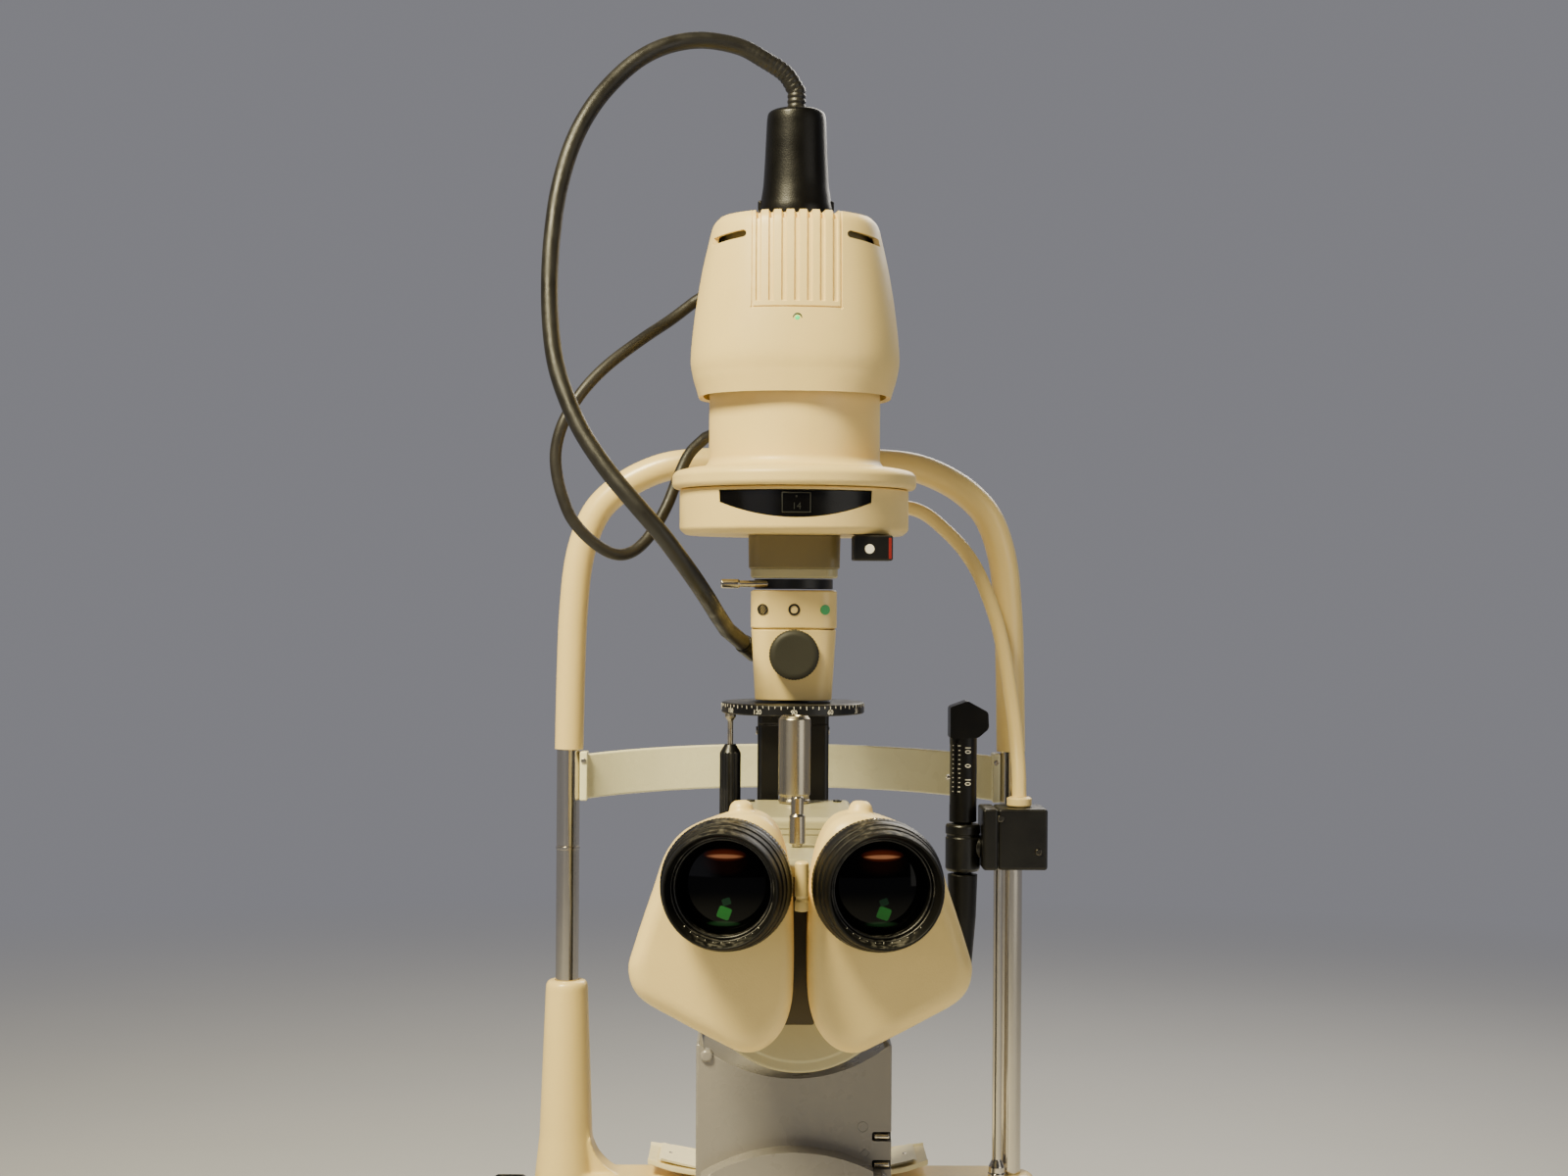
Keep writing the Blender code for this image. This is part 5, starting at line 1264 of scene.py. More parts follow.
def make_joystick():
    joystick = mid("joystick_ball")
    radius = joystick.z - low("joystick_ball").z
    profile = [(0, radius)] + [(radius * math.sin(math.radians(a)), radius * math.cos(math.radians(a)))
                               for a in range(6, 180, 6)] + [(0, -radius)]
    piece("joystick_ball_ground", placed(lathe(profile), joystick), "steel_z", "joystick_x", "joystick_ball")
    lower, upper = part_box("joystick_shaft")
    shape = turned([(0, upper.z), (0.0060, upper.z), (0.0060, 0.0880), (0.0100, 0.0840), (0.0095, 0.0660),
                    (0.0060, lower.z), (0, lower.z)], 0.0012, 64)
    piece("joystick_stem", placed(shape, (0, joystick.y, 0)), "steel_z", "joystick_y", "joystick_shaft")
    lower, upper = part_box("joystick_grip")
    z0, z1 = lower.z, upper.z
    grip = soften([(0, z1), (0.0080, z1), (0.0135, z1 - 0.003), (0.0165, z1 - 0.012), (0.0150, z1 - 0.030),
                   (0.0140, z0 + 0.018), (0.0165, z0 + 0.0060), (0.0150, z0), (0, z0)], 0.004, parts=8)
    fine = [grip[0]]
    for before, after in zip(grip, grip[1:]):
        fine += [before + (after - before) * k / 4 for k in range(1, 5)]
    shape = placed(lathe(fine, ridges=(36, 0.0005, z0 + 0.010, z1 - 0.022)), (0, joystick.y, 0))
    piece("joystick_handle", shape, "matt", "joystick_grip", "joystick_grip", sharp=60)
    button = turned([(0, z1 + 0.0004), (0.0052, z1 + 0.0002), (0.0060, z1 - 0.0006), (0.0060, z1 - 0.002),
                     (0, z1 - 0.002)], 0.0004, 48)
    piece("joystick_cap", placed(button, (0, joystick.y, -0.0005)), "black", "joystick_grip")


def make_base_controls():
    """The lock on the base's right side, and the lamp's dial with its scale."""
    fluted_knob("base_lock_fluted", LOCK, (1, 0, 0), 0.0120, 0.0180, SHANK, 0.0110,
                "base_lock", "base_lock_knob", 24)
    fluted_knob("brightness_dial_fluted", DIAL, (0, 0, 1), 0.0130, 0.0100, SHANK, 0.0088,
                "brightness", "brightness_dial", 36)
    pointer = brick((-0.0456, -0.1010, 0.0852), (-0.0444, -0.0975, 0.0857), 0.0001, 1)
    piece("brightness_pointer", pointer, "white", "brightness")
    marks = []
    dial_start, dial_step = 225, 33.75
    for k in range(9):
        angle = math.radians(dial_start - dial_step * k)
        out = Vector((math.cos(angle), math.sin(angle), 0))
        place = Vector((DIAL.x, DIAL.y, BASE_TOP)) + out * 0.0165
        tick = brick((-0.0010, -0.0002, -0.0001), (0.0010 + 0.0006 * (k % 4 == 0), 0.0002, SKIN), 0.00005, 1)
        tick.transform(Matrix.Translation(place) @ Matrix.Rotation(angle, 4, "Z"))
        marks.append(tick)
    piece("brightness_scale", merged(*marks), "ink", "base")


def make_lift():
    lower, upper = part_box("lift_column")
    collar = 0.1105
    shape = turned([(0, upper.z), (0.0150, upper.z), (0.0160, upper.z - 0.0010),
                    (0.0160, collar + 0.0040), (0.0240, collar + 0.0040), (0.0240, collar),
                    (0.0160, collar), (0.0160, lower.z), (0, lower.z)], 0.0006)
    piece("lift_spindle", placed(shape, (0, PIVOT_Y, 0)), "steel_z", "lift", "lift_column")


# ---- the two arms -------------------------------------------------------------------------------
def make_arms():
    lower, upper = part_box("scope_arm")
    hub_low, hub_high = lower.z, 0.1360
    camera_back = high("camera_unit").y + GAP
    outline = arc((0, PIVOT_Y), HUB_RADIUS, 0, 180, 40)
    foot_x = 0.0178
    near, far = camera_back + 0.0004, camera_back + 0.010
    outline += [Vector(p) for p in ((-foot_x, far), (-foot_x, near), (foot_x, near), (foot_x, far))]
    arm = slab(outline, hub_low + 0.0002, hub_high, 0.002, 3)
    post = brick((-0.0218, camera_back, hub_low), (0.0218, 0.0518, upper.z - 0.0001), 0.003, 4)
    rib = slab(soften([(0.0480, hub_high - 0.004), (0.120, hub_high - 0.004), (0.0500, 0.1700),
                       (0.0480, 0.1700)], 0.002, True), -0.005, 0.005, plane="YZ")
    keep_out = rod(0.0320, (0, PIVOT_Y, hub_high + 0.0001), (0, PIVOT_Y, 0.24), 64)
    saddle_room = brick((-0.04, 0.0545, hub_high + 0.0002), (0.04, 0.20, 0.24), 0.0005)
    knob_z = 0.1254
    bores = [rod(SPINDLE_BORE, (0, PIVOT_Y, 0.10), (0, PIVOT_Y, 0.15), 64),
             rod(SHANK_BORE, (0.0156, ARM_KNOB_Y, knob_z), (0.05, ARM_KNOB_Y, knob_z), 32)]
    shape = cast([arm, post, carved(rib, saddle_room, keep_out)], bores, 0.0009, 3)
    piece("scope_arm_casting", shape, "cast", "scope", "scope_arm")

    lower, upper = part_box("illum_arm")
    bottom, top = lower.z, 0.1600
    half = 0.0268
    outline = arc((0, PIVOT_Y), HUB_RADIUS, 0, 180, 40) + [Vector((-half, 0.0602)), Vector((half, 0.0602))]
    arm = slab(outline, bottom, top, 0.002, 3)
    saddle = brick((-half, 0.0612, top - 0.006), (half, PIVOT_Y - 0.0102, upper.z), 0.003, 4)
    seat_radius = OPTIC_Z - low("mirror_column").z + 0.0092
    way = 0.0206
    knob_z = 0.1480
    seat = rod(seat_radius, (-way, PIVOT_Y, OPTIC_Z), (way, PIVOT_Y, OPTIC_Z), 320)
    keep = brick((-way, 0.030, 0.150), (way, PIVOT_Y + 0.03, 0.24), 0.0002)
    seat_way = combined(seat, [keep], "INTERSECT")
    cutters = [
        seat_way,
        rod(SPINDLE_BORE, (0, PIVOT_Y, bottom - 0.01), (0, PIVOT_Y, bottom + 0.0162), 64),
        brick((-0.035, 0.128, 0.1665), (0.035, 0.21, 0.24), 0.0005),
        rod(SHANK_BORE, (0.0171, ARM_KNOB_Y, knob_z), (0.05, ARM_KNOB_Y, knob_z), 32),
    ]
    shape = cast([arm, saddle], (), 0.0009, 3)
    piece("lamp_arm_casting", carved(shape, *cutters), "cast", "lamp_arm", "illum_arm")
    for name, body in (("scope_arm_knob", "scope_lock"), ("illum_arm_knob", "lamp_lock")):
        lower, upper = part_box(name)
        centre = (lower + upper) / 2
        radius = upper.z - centre.z
        fluted_knob(f"{name}_fluted", (upper.x - 0.016, centre.y, centre.z), (1, 0, 0), radius, 0.0160, SHANK,
                    upper.x - lower.x - 0.0165, body, name, 20)


# ---- lamp tower ---------------------------------------------------------------------------------
def make_tower_column():
    lower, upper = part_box("mirror_column")
    half = 0.017
    column = placed(slab(box_outline(half, half, 0.0022, 5), 0.240, upper.z, 0.0006), TOWER)
    radius = OPTIC_Z - lower.z + 0.0086
    foot = brick((-0.0200, TOWER.y - 0.020, 0.170), (0.0200, TOWER.y + 0.020, 0.256), 0.0016)
    seat = rod(radius, (-0.05, PIVOT_Y, OPTIC_Z), (0.05, PIVOT_Y, OPTIC_Z), 320)
    foot = combined(foot, [seat], "INTERSECT")
    opening = [(0.0095, 0.3450), (0.0095, 0.4160), (0.0068, 0.4200), (0.0068, 0.4600)]
    opening = soften([(-x, z) for x, z in opening[:1]] + opening
                     + [(-x, z) for x, z in reversed(opening[1:])], 0.0020, True)
    window = slab(opening, TOWER.y - 0.03, TOWER.y + 0.03, plane="XZ")
    bore = rod(0.0044, (-0.03, TOWER.y, 0.235), (0.03, TOWER.y, 0.235), 32)
    face = TOWER.y - half
    grooves = [brick((-0.03, face - 0.01, z - 0.0004), (0.03, face + 0.0006, z + 0.0004), 0.0001, 1)
               for z in (0.3300, 0.4700)]
    piece("mirror_column_body", carved(united(column, foot), window, bore, *grooves), "black", "tower",
          "mirror_column")
    screws = []
    for side in (LEFT, RIGHT):
        for z in (0.300, 0.320, 0.466):
            screws.append(cap_screw((side * half, TOWER.y, z), (side, 0, 0), 0.0020, 0.0008))
    piece("mirror_column_screws", merged(*screws), "steel_x", "tower")

    middle = mid("mirror")
    glass = brick((-0.0090, -0.0149, -0.0013), (0.0090, 0.0149, 0.0014), 0.0003)
    holder = united(
        brick((-0.0093, -0.0156, -0.0016), (0.0093, -0.0128, 0.0018), 0.0004),
        brick((-0.0093, 0.0128, -0.0016), (0.0093, 0.0156, 0.0018), 0.0004),
    )
    turn = Matrix.Translation(middle) @ Matrix.Rotation(math.radians(45), 4, "X")
    for shape, name, look, nodes in ((glass, "mirror_glass", "mirror", ["mirror"]),
                                     (holder, "mirror_clips", "matt", [])):
        shape.transform(turn)
        piece(name, shape, look, "tower", *nodes)

    knob_z = mid("slit_width_knobs").z
    knobs = []
    for side in (LEFT, RIGHT):
        shape = lathe(knob_profile(0.0155, 0.0140, 0.0040, 0.0278), ridges=(36, 0.0005, 0.0009, 0.0131))
        knobs.append(placed(shape, (side * 0.0279, TOWER.y, knob_z), (side, 0, 0)))
    piece("slit_width_knobs_fluted", merged(*knobs), "matt", "slit_width", "slit_width_knobs")
    make_scale_ring()


def make_scale_ring():
    """The black ring with the slit's angle round it, and its handle."""
    lower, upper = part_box("slit_scale_ring")
    radius = upper.x
    height = upper.z - lower.z
    ring = turned([(0.0080, height), (radius - 0.0006, height), (radius, height - 0.0005),
                   (radius, 0.0005), (radius - 0.0006, 0.0), (0.0080, 0.0)], 0.0002, 180, closed=True)
    piece("slit_ring", placed(ring, (0, TOWER.y, lower.z)), "black", "slit_turn", "slit_scale_ring")
    marks = []
    for degree in range(0, 360, 5):
        angle = math.radians(degree)
        tall = 0.0016 if degree % 10 == 0 else 0.0010
        tick = brick((radius - 0.0003, -0.00016, height - 0.0006 - tall),
                     (radius + SKIN * 0.6, 0.00016, height - 0.0006), 0.00003, 1)
        tick.transform(Matrix.Rotation(angle, 4, "Z"))
        marks.append(tick)
    for number in range(0, 180, 30):
        for turn in (0, 180):
            angle = -math.radians(number + turn)
            text = digits(str(number), 0.0031, (0, 0, 0), (0, 1, 0), (0, 0, 1), 0.0003)
            for vertex in text.vertices:
                lean = angle + vertex.co.y / radius
                reach = radius + vertex.co.x * 0.5
                vertex.co = (reach * math.cos(lean), reach * math.sin(lean), vertex.co.z + 0.0018)
            marks.append(text)
    piece("slit_ring_scale", placed(merged(*marks), (0, TOWER.y, lower.z)), "white", "slit_turn")

    lower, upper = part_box("slit_handle")
    middle = (lower + upper) / 2
    fine = turned([(0, 0.4602), (0.0026, 0.4602), (0.0051, 0.4560), (0.0051, lower.z + 0.0030),
                   (0.0046, lower.z), (0, lower.z)], 0.0004,
                  ridges=(12, 0.00025, lower.z + 0.002, 0.4562))
    piece("slit_handle_grip", placed(fine, (middle.x, middle.y, 0)), "black", "slit_turn", "slit_handle",
          sharp=20)
    stem = turned([(0, upper.z + 0.0004), (0.0026, upper.z + 0.0004), (0.0026, upper.z - 0.0012),
                   (0.0013, upper.z - 0.0030), (0.0013, 0.4600), (0, 0.4600)], 0.0004, 32)
    stem = placed(stem, (middle.x, middle.y, 0))
    piece("slit_handle_stem", stem, "steel_z", "slit_turn")


def square_stack(levels, corner):
    """A solid through rounded squares of (half width, height)."""
    rings = []
    for half, z in levels:
        rings.append([(p.x, p.y, z) for p in box_outline(half, half, corner, 10)])
    return loft(rings)


def make_tower_head():
    lower, upper = low("tower_body"), high("tower_body")
    front = TOWER.y - 0.0205
    levels = soften([(0.0170, lower.z), (0.0184, lower.z), (0.0203, upper.z), (0.0190, upper.z)], 0.0010)
    trunk = placed(square_stack(levels, HEAD_CORNER), TOWER)
    knob_z = mid("centring_knob").z
    recess = rod(0.0035, (0, front - 0.004, knob_z), (0, front + 0.008, knob_z), 32)
    piece("tower_body_shell", carved(trunk, recess), "enamel", "tower", "tower_body")
    make_gland("guide_gland", *reversed(GUIDE_ROUTE[-2:]), 0.0135, [(0.0046, 0.0012), (0.0043, 0.0)], 0.0004)

    knob = turned([(0, 0.0117), (0.0098, 0.0120), (0.0118, 0.0108), (0.01185, 0.0015), (0.0110, 0.0),
                   (0.0029, 0.0), (0.0029, -0.0068), (0, -0.0068)], 0.0012,
                  ridges=(48, 0.00025, 0.0010, 0.0104))
    piece("centring_knob_cap", placed(knob, (0, front - 0.0008, knob_z), FRONT), "knob", "centring",
          "centring_knob")

    lower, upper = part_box("filter_housing")
    levels = soften([(0.0196, lower.z), (0.0206, lower.z + 0.0006), (0.0206, upper.z - 0.0006),
                     (0.0196, upper.z)], 0.0005)
    piece("filter_housing_shell", placed(square_stack(levels, HEAD_CORNER), TOWER), "enamel", "tower",
          "filter_housing")
    make_filter_marks((lower.z + upper.z) / 2, upper.y - TOWER.y)

    lower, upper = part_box("filter_lever")
    middle = (lower.z + upper.z) / 2
    disc = turned([(0, upper.z), (0.0190, upper.z), (0.0190, lower.z), (0, lower.z)], 0.0005)
    piece("filter_disc", placed(disc, TOWER), "black", "filter_turn", "filter_lever")
    tip = Vector((low("filter_lever").x, TOWER.y - 0.0135, middle))
    pin = turned([(0, 0.0225), (0.0016, 0.0225), (0.0016, 0.0090), (0.0022, 0.0084), (0.0022, 0.0004),
                  (0.0018, 0.0), (0, 0.0)], 0.0003, 32)
    piece("filter_pin", placed(pin, tip, (1, 0, 0)), "steel_x", "filter_turn")

    lower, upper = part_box("neck_block")
    split = lower.z + 0.0044
    levels = soften([(0.0200, lower.z), (0.0208, lower.z + 0.0006), (0.0208, split - 0.0001)], 0.0004)
    piece("neck_collar", placed(square_stack(levels, 0.006), TOWER), "shade", "tower")
    # The casting's dark olive is painted shade beneath the turret.
    levels = soften([(0.0212, split), (0.0217, split + 0.0006), (0.0220, upper.z)], 0.0004)
    piece("neck_casting", placed(square_stack(levels, 0.006), TOWER), "neck", "tower", "neck_block")
    make_turret()


def make_filter_marks(z, half):
    """The three filter marks: a hatched disc, an open ring and a green disc."""
    def on_face(mesh, x):
        """The mesh laid on the housing's front, or round its corner, that far across."""
        corner = half - HEAD_CORNER
        lean = math.asin(max(0.0, abs(x) - corner) / HEAD_CORNER) * (1 if x > 0 else -1)
        depth = corner + HEAD_CORNER * math.cos(lean)
        return placed(mesh, (x, TOWER.y - depth - SKIN, z), (math.sin(lean), -math.cos(lean), 0))

    def ring(radius, wire):
        profile = [(radius, SKIN), (radius, -0.0006), (radius - wire, -0.0006), (radius - wire, SKIN)]
        return lathe(profile, 48, closed=True)

    disc = turned([(0, SKIN), (0.0024, SKIN), (0.0024, -0.0006), (0, -0.0006)], 0.0001, 40)
    piece("filter_mark_green", on_face(disc, 0.0148), "green", "tower")
    stripes = [ring(0.0026, 0.0004)]
    for k in (-2, -1, 0, 1, 2):
        offset = k * 0.0009
        reach = math.sqrt(0.0025 ** 2 - offset ** 2)
        bar = brick((-reach, offset - 0.00018, -0.0004), (reach, offset + 0.00018, SKIN), 0.00003, 1)
        bar.transform(Matrix.Rotation(math.radians(50), 4, "Z"))
        stripes.append(bar)
    piece("filter_mark_hatched", on_face(merged(*stripes), -0.0150), "ink", "tower")
    piece("filter_mark_ring", on_face(ring(0.0028, 0.0010), 0.0), "ink", "tower")


def smile(half, top, drop, end, grow):
    """The window's outline, grown all round by a margin: straight above, short upright ends, and an
    arc below."""
    rise = drop - end
    radius = (half ** 2 + rise ** 2) / (2 * rise)
    middle = top - drop + radius
    spread = math.degrees(math.asin(half / radius))
    below = arc((0, middle), radius + grow, 270 - spread, 270 + spread, 40)
    return [Vector((-half - grow, top + grow)), *below, Vector((half + grow, top + grow))]


def make_turret():
    lower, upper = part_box("turret_housing")
    radius = upper.x
    drum = turned([(0, upper.z), (radius, upper.z), (radius, lower.z + 0.0025),
                   (radius - 0.0030, lower.z), (0, lower.z)], 0.0012, 180)
    pane_low, pane_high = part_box("turret_window")

    def windowed(grow, inner, outer):
        """The window's outline cut from a ring between two radii."""
        outline = smile(pane_high.x + 0.0005, pane_high.z, pane_high.z - pane_low.z, 0.0048, grow)
        pane = slab(outline, -0.09, -0.03, plane="XZ")
        ring = lathe([(inner, 0.59), (outer, 0.59), (outer, 0.55), (inner, 0.55)], 180, closed=True)
        return placed(combined(pane, [ring], "INTERSECT"), TOWER)

    drum = carved(placed(drum, TOWER), windowed(0.0005, 0.0490, 0.0600))
    piece("turret_drum", drum, "cream", "tower", "turret_housing")
    piece("turret_pane", windowed(0.0, 0.0498, radius - 0.0008), "window", "tower", "turret_window")
    middle = (pane_low.z + pane_high.z) / 2 + 0.0006
    face = TOWER.y - radius + 0.0007
    piece("turret_number", digits("14", 0.0044, (0.0003, face, middle - 0.0020), (1, 0, 0), (0, 0, 1),
                                  0.0002), "etched", "tower")
    back = face - 0.0001
    plate = brick((-0.0066, back, middle - 0.0050), (0.0070, face + 0.0010, middle + 0.0046), 0.0002, 1)
    hole = brick((-0.0060, face - 0.01, middle - 0.0044), (0.0064, face + 0.01, middle + 0.0040), 0.0002, 1)
    tick = brick((-0.0001, back, middle + 0.0022), (0.0007, face + 0.0004, middle + 0.0030), 0.0001, 1)
    piece("turret_number_frame", merged(carved(plate, hole), tick), "etched", "tower")

    lower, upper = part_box("turret_lever")
    piece("turret_lever_grip", brick(lower, upper, 0.0009), "black", "turret_turn", "turret_lever")
    centre = (lower + upper) / 2
    dot = turned([(0, SKIN), (0.0022, SKIN), (0.0022, -0.0005), (0, -0.0005)], 0.0001, 32)
    piece("turret_lever_dot", placed(dot, (centre.x - 0.0016, lower.y - SKIN / 2, centre.z - 0.0005), FRONT),
          "white", "turret_turn")
    side = brick((upper.x - 0.0020, lower.y - SKIN, lower.z + 0.0008),
                 (upper.x - 0.0006, lower.y + 0.001, upper.z - 0.0012), 0.0001, 1)
    piece("turret_lever_mark", side, "red", "turret_turn")


def make_lamp_cover():
    lower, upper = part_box("lamp_base_cover")
    radius, wall = 0.0413, 0.0030
    flange = upper.x
    shape = turned([
        (radius - wall, upper.z), (radius, upper.z), (radius, 0.5960), (0.0432, 0.5934), (0.0520, 0.5922),
        (flange - 0.0020, 0.5910), (flange, 0.5890), (flange, 0.5842), (flange - 0.0012, lower.z),
        (0.0160, lower.z), (0.0160, 0.5890), (radius - wall, 0.5970),
    ], 0.0022, 180, parts=6, closed=True)
    shape = placed(shape, TOWER)
    piece("lamp_cover_shell", shape, "cream", "tower", "lamp_base_cover")
    make_gland("lead_gland_lower", *reversed(LEAD_ROUTE[-2:]), 0.0080, [(0.0045, 0.0)], 0.0006)


HOUSING_LEVELS = [      # (half width, half depth, height) of the lamp housing, top to bottom
    (0.0185, 0.0185, 0.7132), (0.0300, 0.0300, 0.7132), (0.0372, 0.0365, 0.7120),
    (0.0400, 0.0392, 0.7085), (0.0420, 0.0410, 0.7010), (0.0453, 0.0436, 0.6860),
    (0.0484, 0.0462, 0.6665), (0.0504, 0.0480, 0.6460), (0.0493, 0.0472, 0.6365),
    (0.0476, 0.0466, 0.6305), (0.0464, 0.0462, 0.6265),
]
RIB_PITCH = 0.00598
RIB_GROOVE = 0.0027
RIB_COUNT = 7
PANEL_HALF = 0.0207
PANEL_FOOT = 0.6655


def rib_depth(x, z):
    """How far the panel's ribs and its border sink into the housing's front at a place."""
    if z < PANEL_FOOT - 0.0009 or abs(x) > PANEL_HALF + 0.0009:
        return 0.0
    border = max(abs(abs(x) - PANEL_HALF) < 0.0004, abs(z - PANEL_FOOT) < 0.0004) * 0.0006
    if abs(x) > PANEL_HALF or z < PANEL_FOOT:
        return border
    depth = 0.0
    for k in range(RIB_COUNT):
        away = abs(x - (k - (RIB_COUNT - 1) / 2) * RIB_PITCH)
        if away < RIB_GROOVE / 2 and z > PANEL_FOOT + 0.0028:
            depth = 0.0011 * min(1.0, (RIB_GROOVE / 2 - away) / 0.0007)
    return max(border, depth)


def housing_rings():
    """The housing's outer skin, with points packed closely across its ribbed front."""
    fine = smooth([Vector(level) for level in HOUSING_LEVELS[2:-1]], 8)
    fine = [Vector(level) for level in HOUSING_LEVELS[:2]] + fine + [Vector(HOUSING_LEVELS[-1])]
    levels = [fine[0], fine[1], (fine[1] + fine[2]) / 2 + Vector((0, 0, 0.0003))] + fine[2:]
    cuts = [PANEL_FOOT + d for d in (-0.0010, -0.0005, -0.0003, 0.0003, 0.0005, 0.0026, 0.0030)]
    for z in cuts:
        for above, below in zip(fine, fine[1:]):
            if above.z > z > below.z:
                levels.append(below.lerp(above, (z - below.z) / (above.z - below.z)))
    levels = levels[:3] + sorted(levels[3:], key=lambda level: -level.z)
    across = [-PANEL_HALF - 0.0010, PANEL_HALF + 0.0010]
    for side in (LEFT, RIGHT):
        across += [side * (PANEL_HALF + d) for d in (-0.0005, -0.0003, 0.0003, 0.0005)]
    for k in range(RIB_COUNT):
        x = (k - (RIB_COUNT - 1) / 2) * RIB_PITCH
        across += [x + d for d in (-0.5 * RIB_GROOVE, -0.5 * RIB_GROOVE + 0.0007, 0.0,
                                   0.5 * RIB_GROOVE - 0.0007, 0.5 * RIB_GROOVE)]
    for k in range(RIB_COUNT + 1):
        x = (k - RIB_COUNT / 2) * RIB_PITCH
        across += [x - 0.0010, x, x + 0.0010]
    across = sorted(x for x in across if abs(x) <= PANEL_HALF + 0.0010)
    power = 0.86
    rings = []
    for half, deep, z in levels:
        span = min(1.0, 0.98 * half / across[-1])
        ring = []
        for x in across:
            shown = x * span
            y = -deep * max(0.0, 1 - (abs(shown) / half) ** (2 / power)) ** (power / 2)
            sink = rib_depth(x, z)
            notch = sink > 0.0009 and z > 0.7080
            ring.append(Vector((shown, y + sink * (2.2 if notch else 1.0), z - (0.0012 if notch else 0.0))))
        start = math.acos(min(1.0, (across[-1] * span / half) ** (1 / power)))
        for k in range(1, 120):
            angle = -start + (math.pi + 2 * start) * k / 120
            x = math.copysign(abs(math.cos(angle)) ** power, math.cos(angle)) * half
            y = math.copysign(abs(math.sin(angle)) ** power, math.sin(angle)) * deep
            ring.append(Vector((x, y, z)))
        rings.append(ring)
    return rings


def make_lamp_housing():
    shell = placed(loft(housing_rings(), tips=False), TOWER)
    shell = evaluated(shell, ("SOLIDIFY", {"thickness": 0.0024, "offset": -1.0}))
    vents = []
    for side in (LEFT, RIGHT):
        vent = slab(box_outline(0.0098, 0.0018, 0.0017, 6), -0.012, 0.012, plane="XZ")
        turn = Matrix.Translation((side * 0.0334, TOWER.y - 0.030, 0.7000)) @ Matrix.Rotation(
            math.radians(7 * side), 4, "Y")
        vent.transform(turn)
        vents.append(vent)
    piece("lamp_housing_shell", carved(shell, *vents), "cream", "tower", "lamp_housing", sharp=32)
    inside = placed(lathe([(0.034, 0.7085), (0.0405, 0.690), (0.0410, 0.682), (0.034, 0.684)],
                          closed=True), TOWER)
    piece("lamp_heat_shield", inside, "shade", "tower")

    lamp = Vector((0.0003, TOWER.y - 0.0464, 0.6600))
    bezel = torus(0.0020, 0.0005, lamp, FRONT, 40)
    dome = turned([(0, 0.0007), (0.0010, 0.0006), (0.0017, 0.0), (0.0017, -0.002), (0, -0.002)], 0.0004, 32)
    piece("power_light_bezel", bezel, "rim_green", "tower")
    piece("power_light", placed(dome, lamp, FRONT), "led", "tower")

    make_gland("lead_gland_upper", *LEAD_ROUTE[:2], 0.0115, [(0.0045, 0.0010), (0.0040, 0.0)], 0.0005)

    top = high("lamp_module").z
    module = turned([
        (0, top), (0.0165, top), (0.0165, 0.6955), (0.0200, 0.6945), (0.0200, 0.6805), (0.0090, 0.6795),
        (0.0085, 0.6600), (0.0060, 0.6545), (0, 0.6535),
    ], 0.0008, 64)
    piece("lamp_module_body", placed(module, TOWER), "cast", "tower", "lamp_module")

    bottom, top = low("lamp_plug").z, high("lamp_plug").z
    shape = turned([
        (0, top), (0.0060, top), (0.0113, top - 0.0002), (0.0138, top - 0.0016), (0.0143, top - 0.0050),
        (0.0151, 0.7430), (0.0159, 0.7290), (0.0171, 0.7215), (0.0178, 0.7180), (0.0178, bottom), (0, bottom),
    ], 0.0030, 96, parts=6)
    plug = placed(shape, TOWER)
    ears = [brick((x - 0.0012, TOWER.y - 0.0030, 0.7170), (x + 0.0012, TOWER.y + 0.0030, 0.7222), 0.0010)
            for x in (-0.0172, 0.0172)]
    piece("lamp_plug_boot", united(plug, *ears), "matt", "tower", "lamp_plug")
    collar = placed(turned([(0.0042, 0.0012), (0.0062, 0.0010), (0.0068, -0.0006), (0.0042, -0.0006)],
                           0.0004, 48, closed=True), TOWER + Vector((0, 0, top)))
    piece("guide_collar", collar, "rubber", "tower")


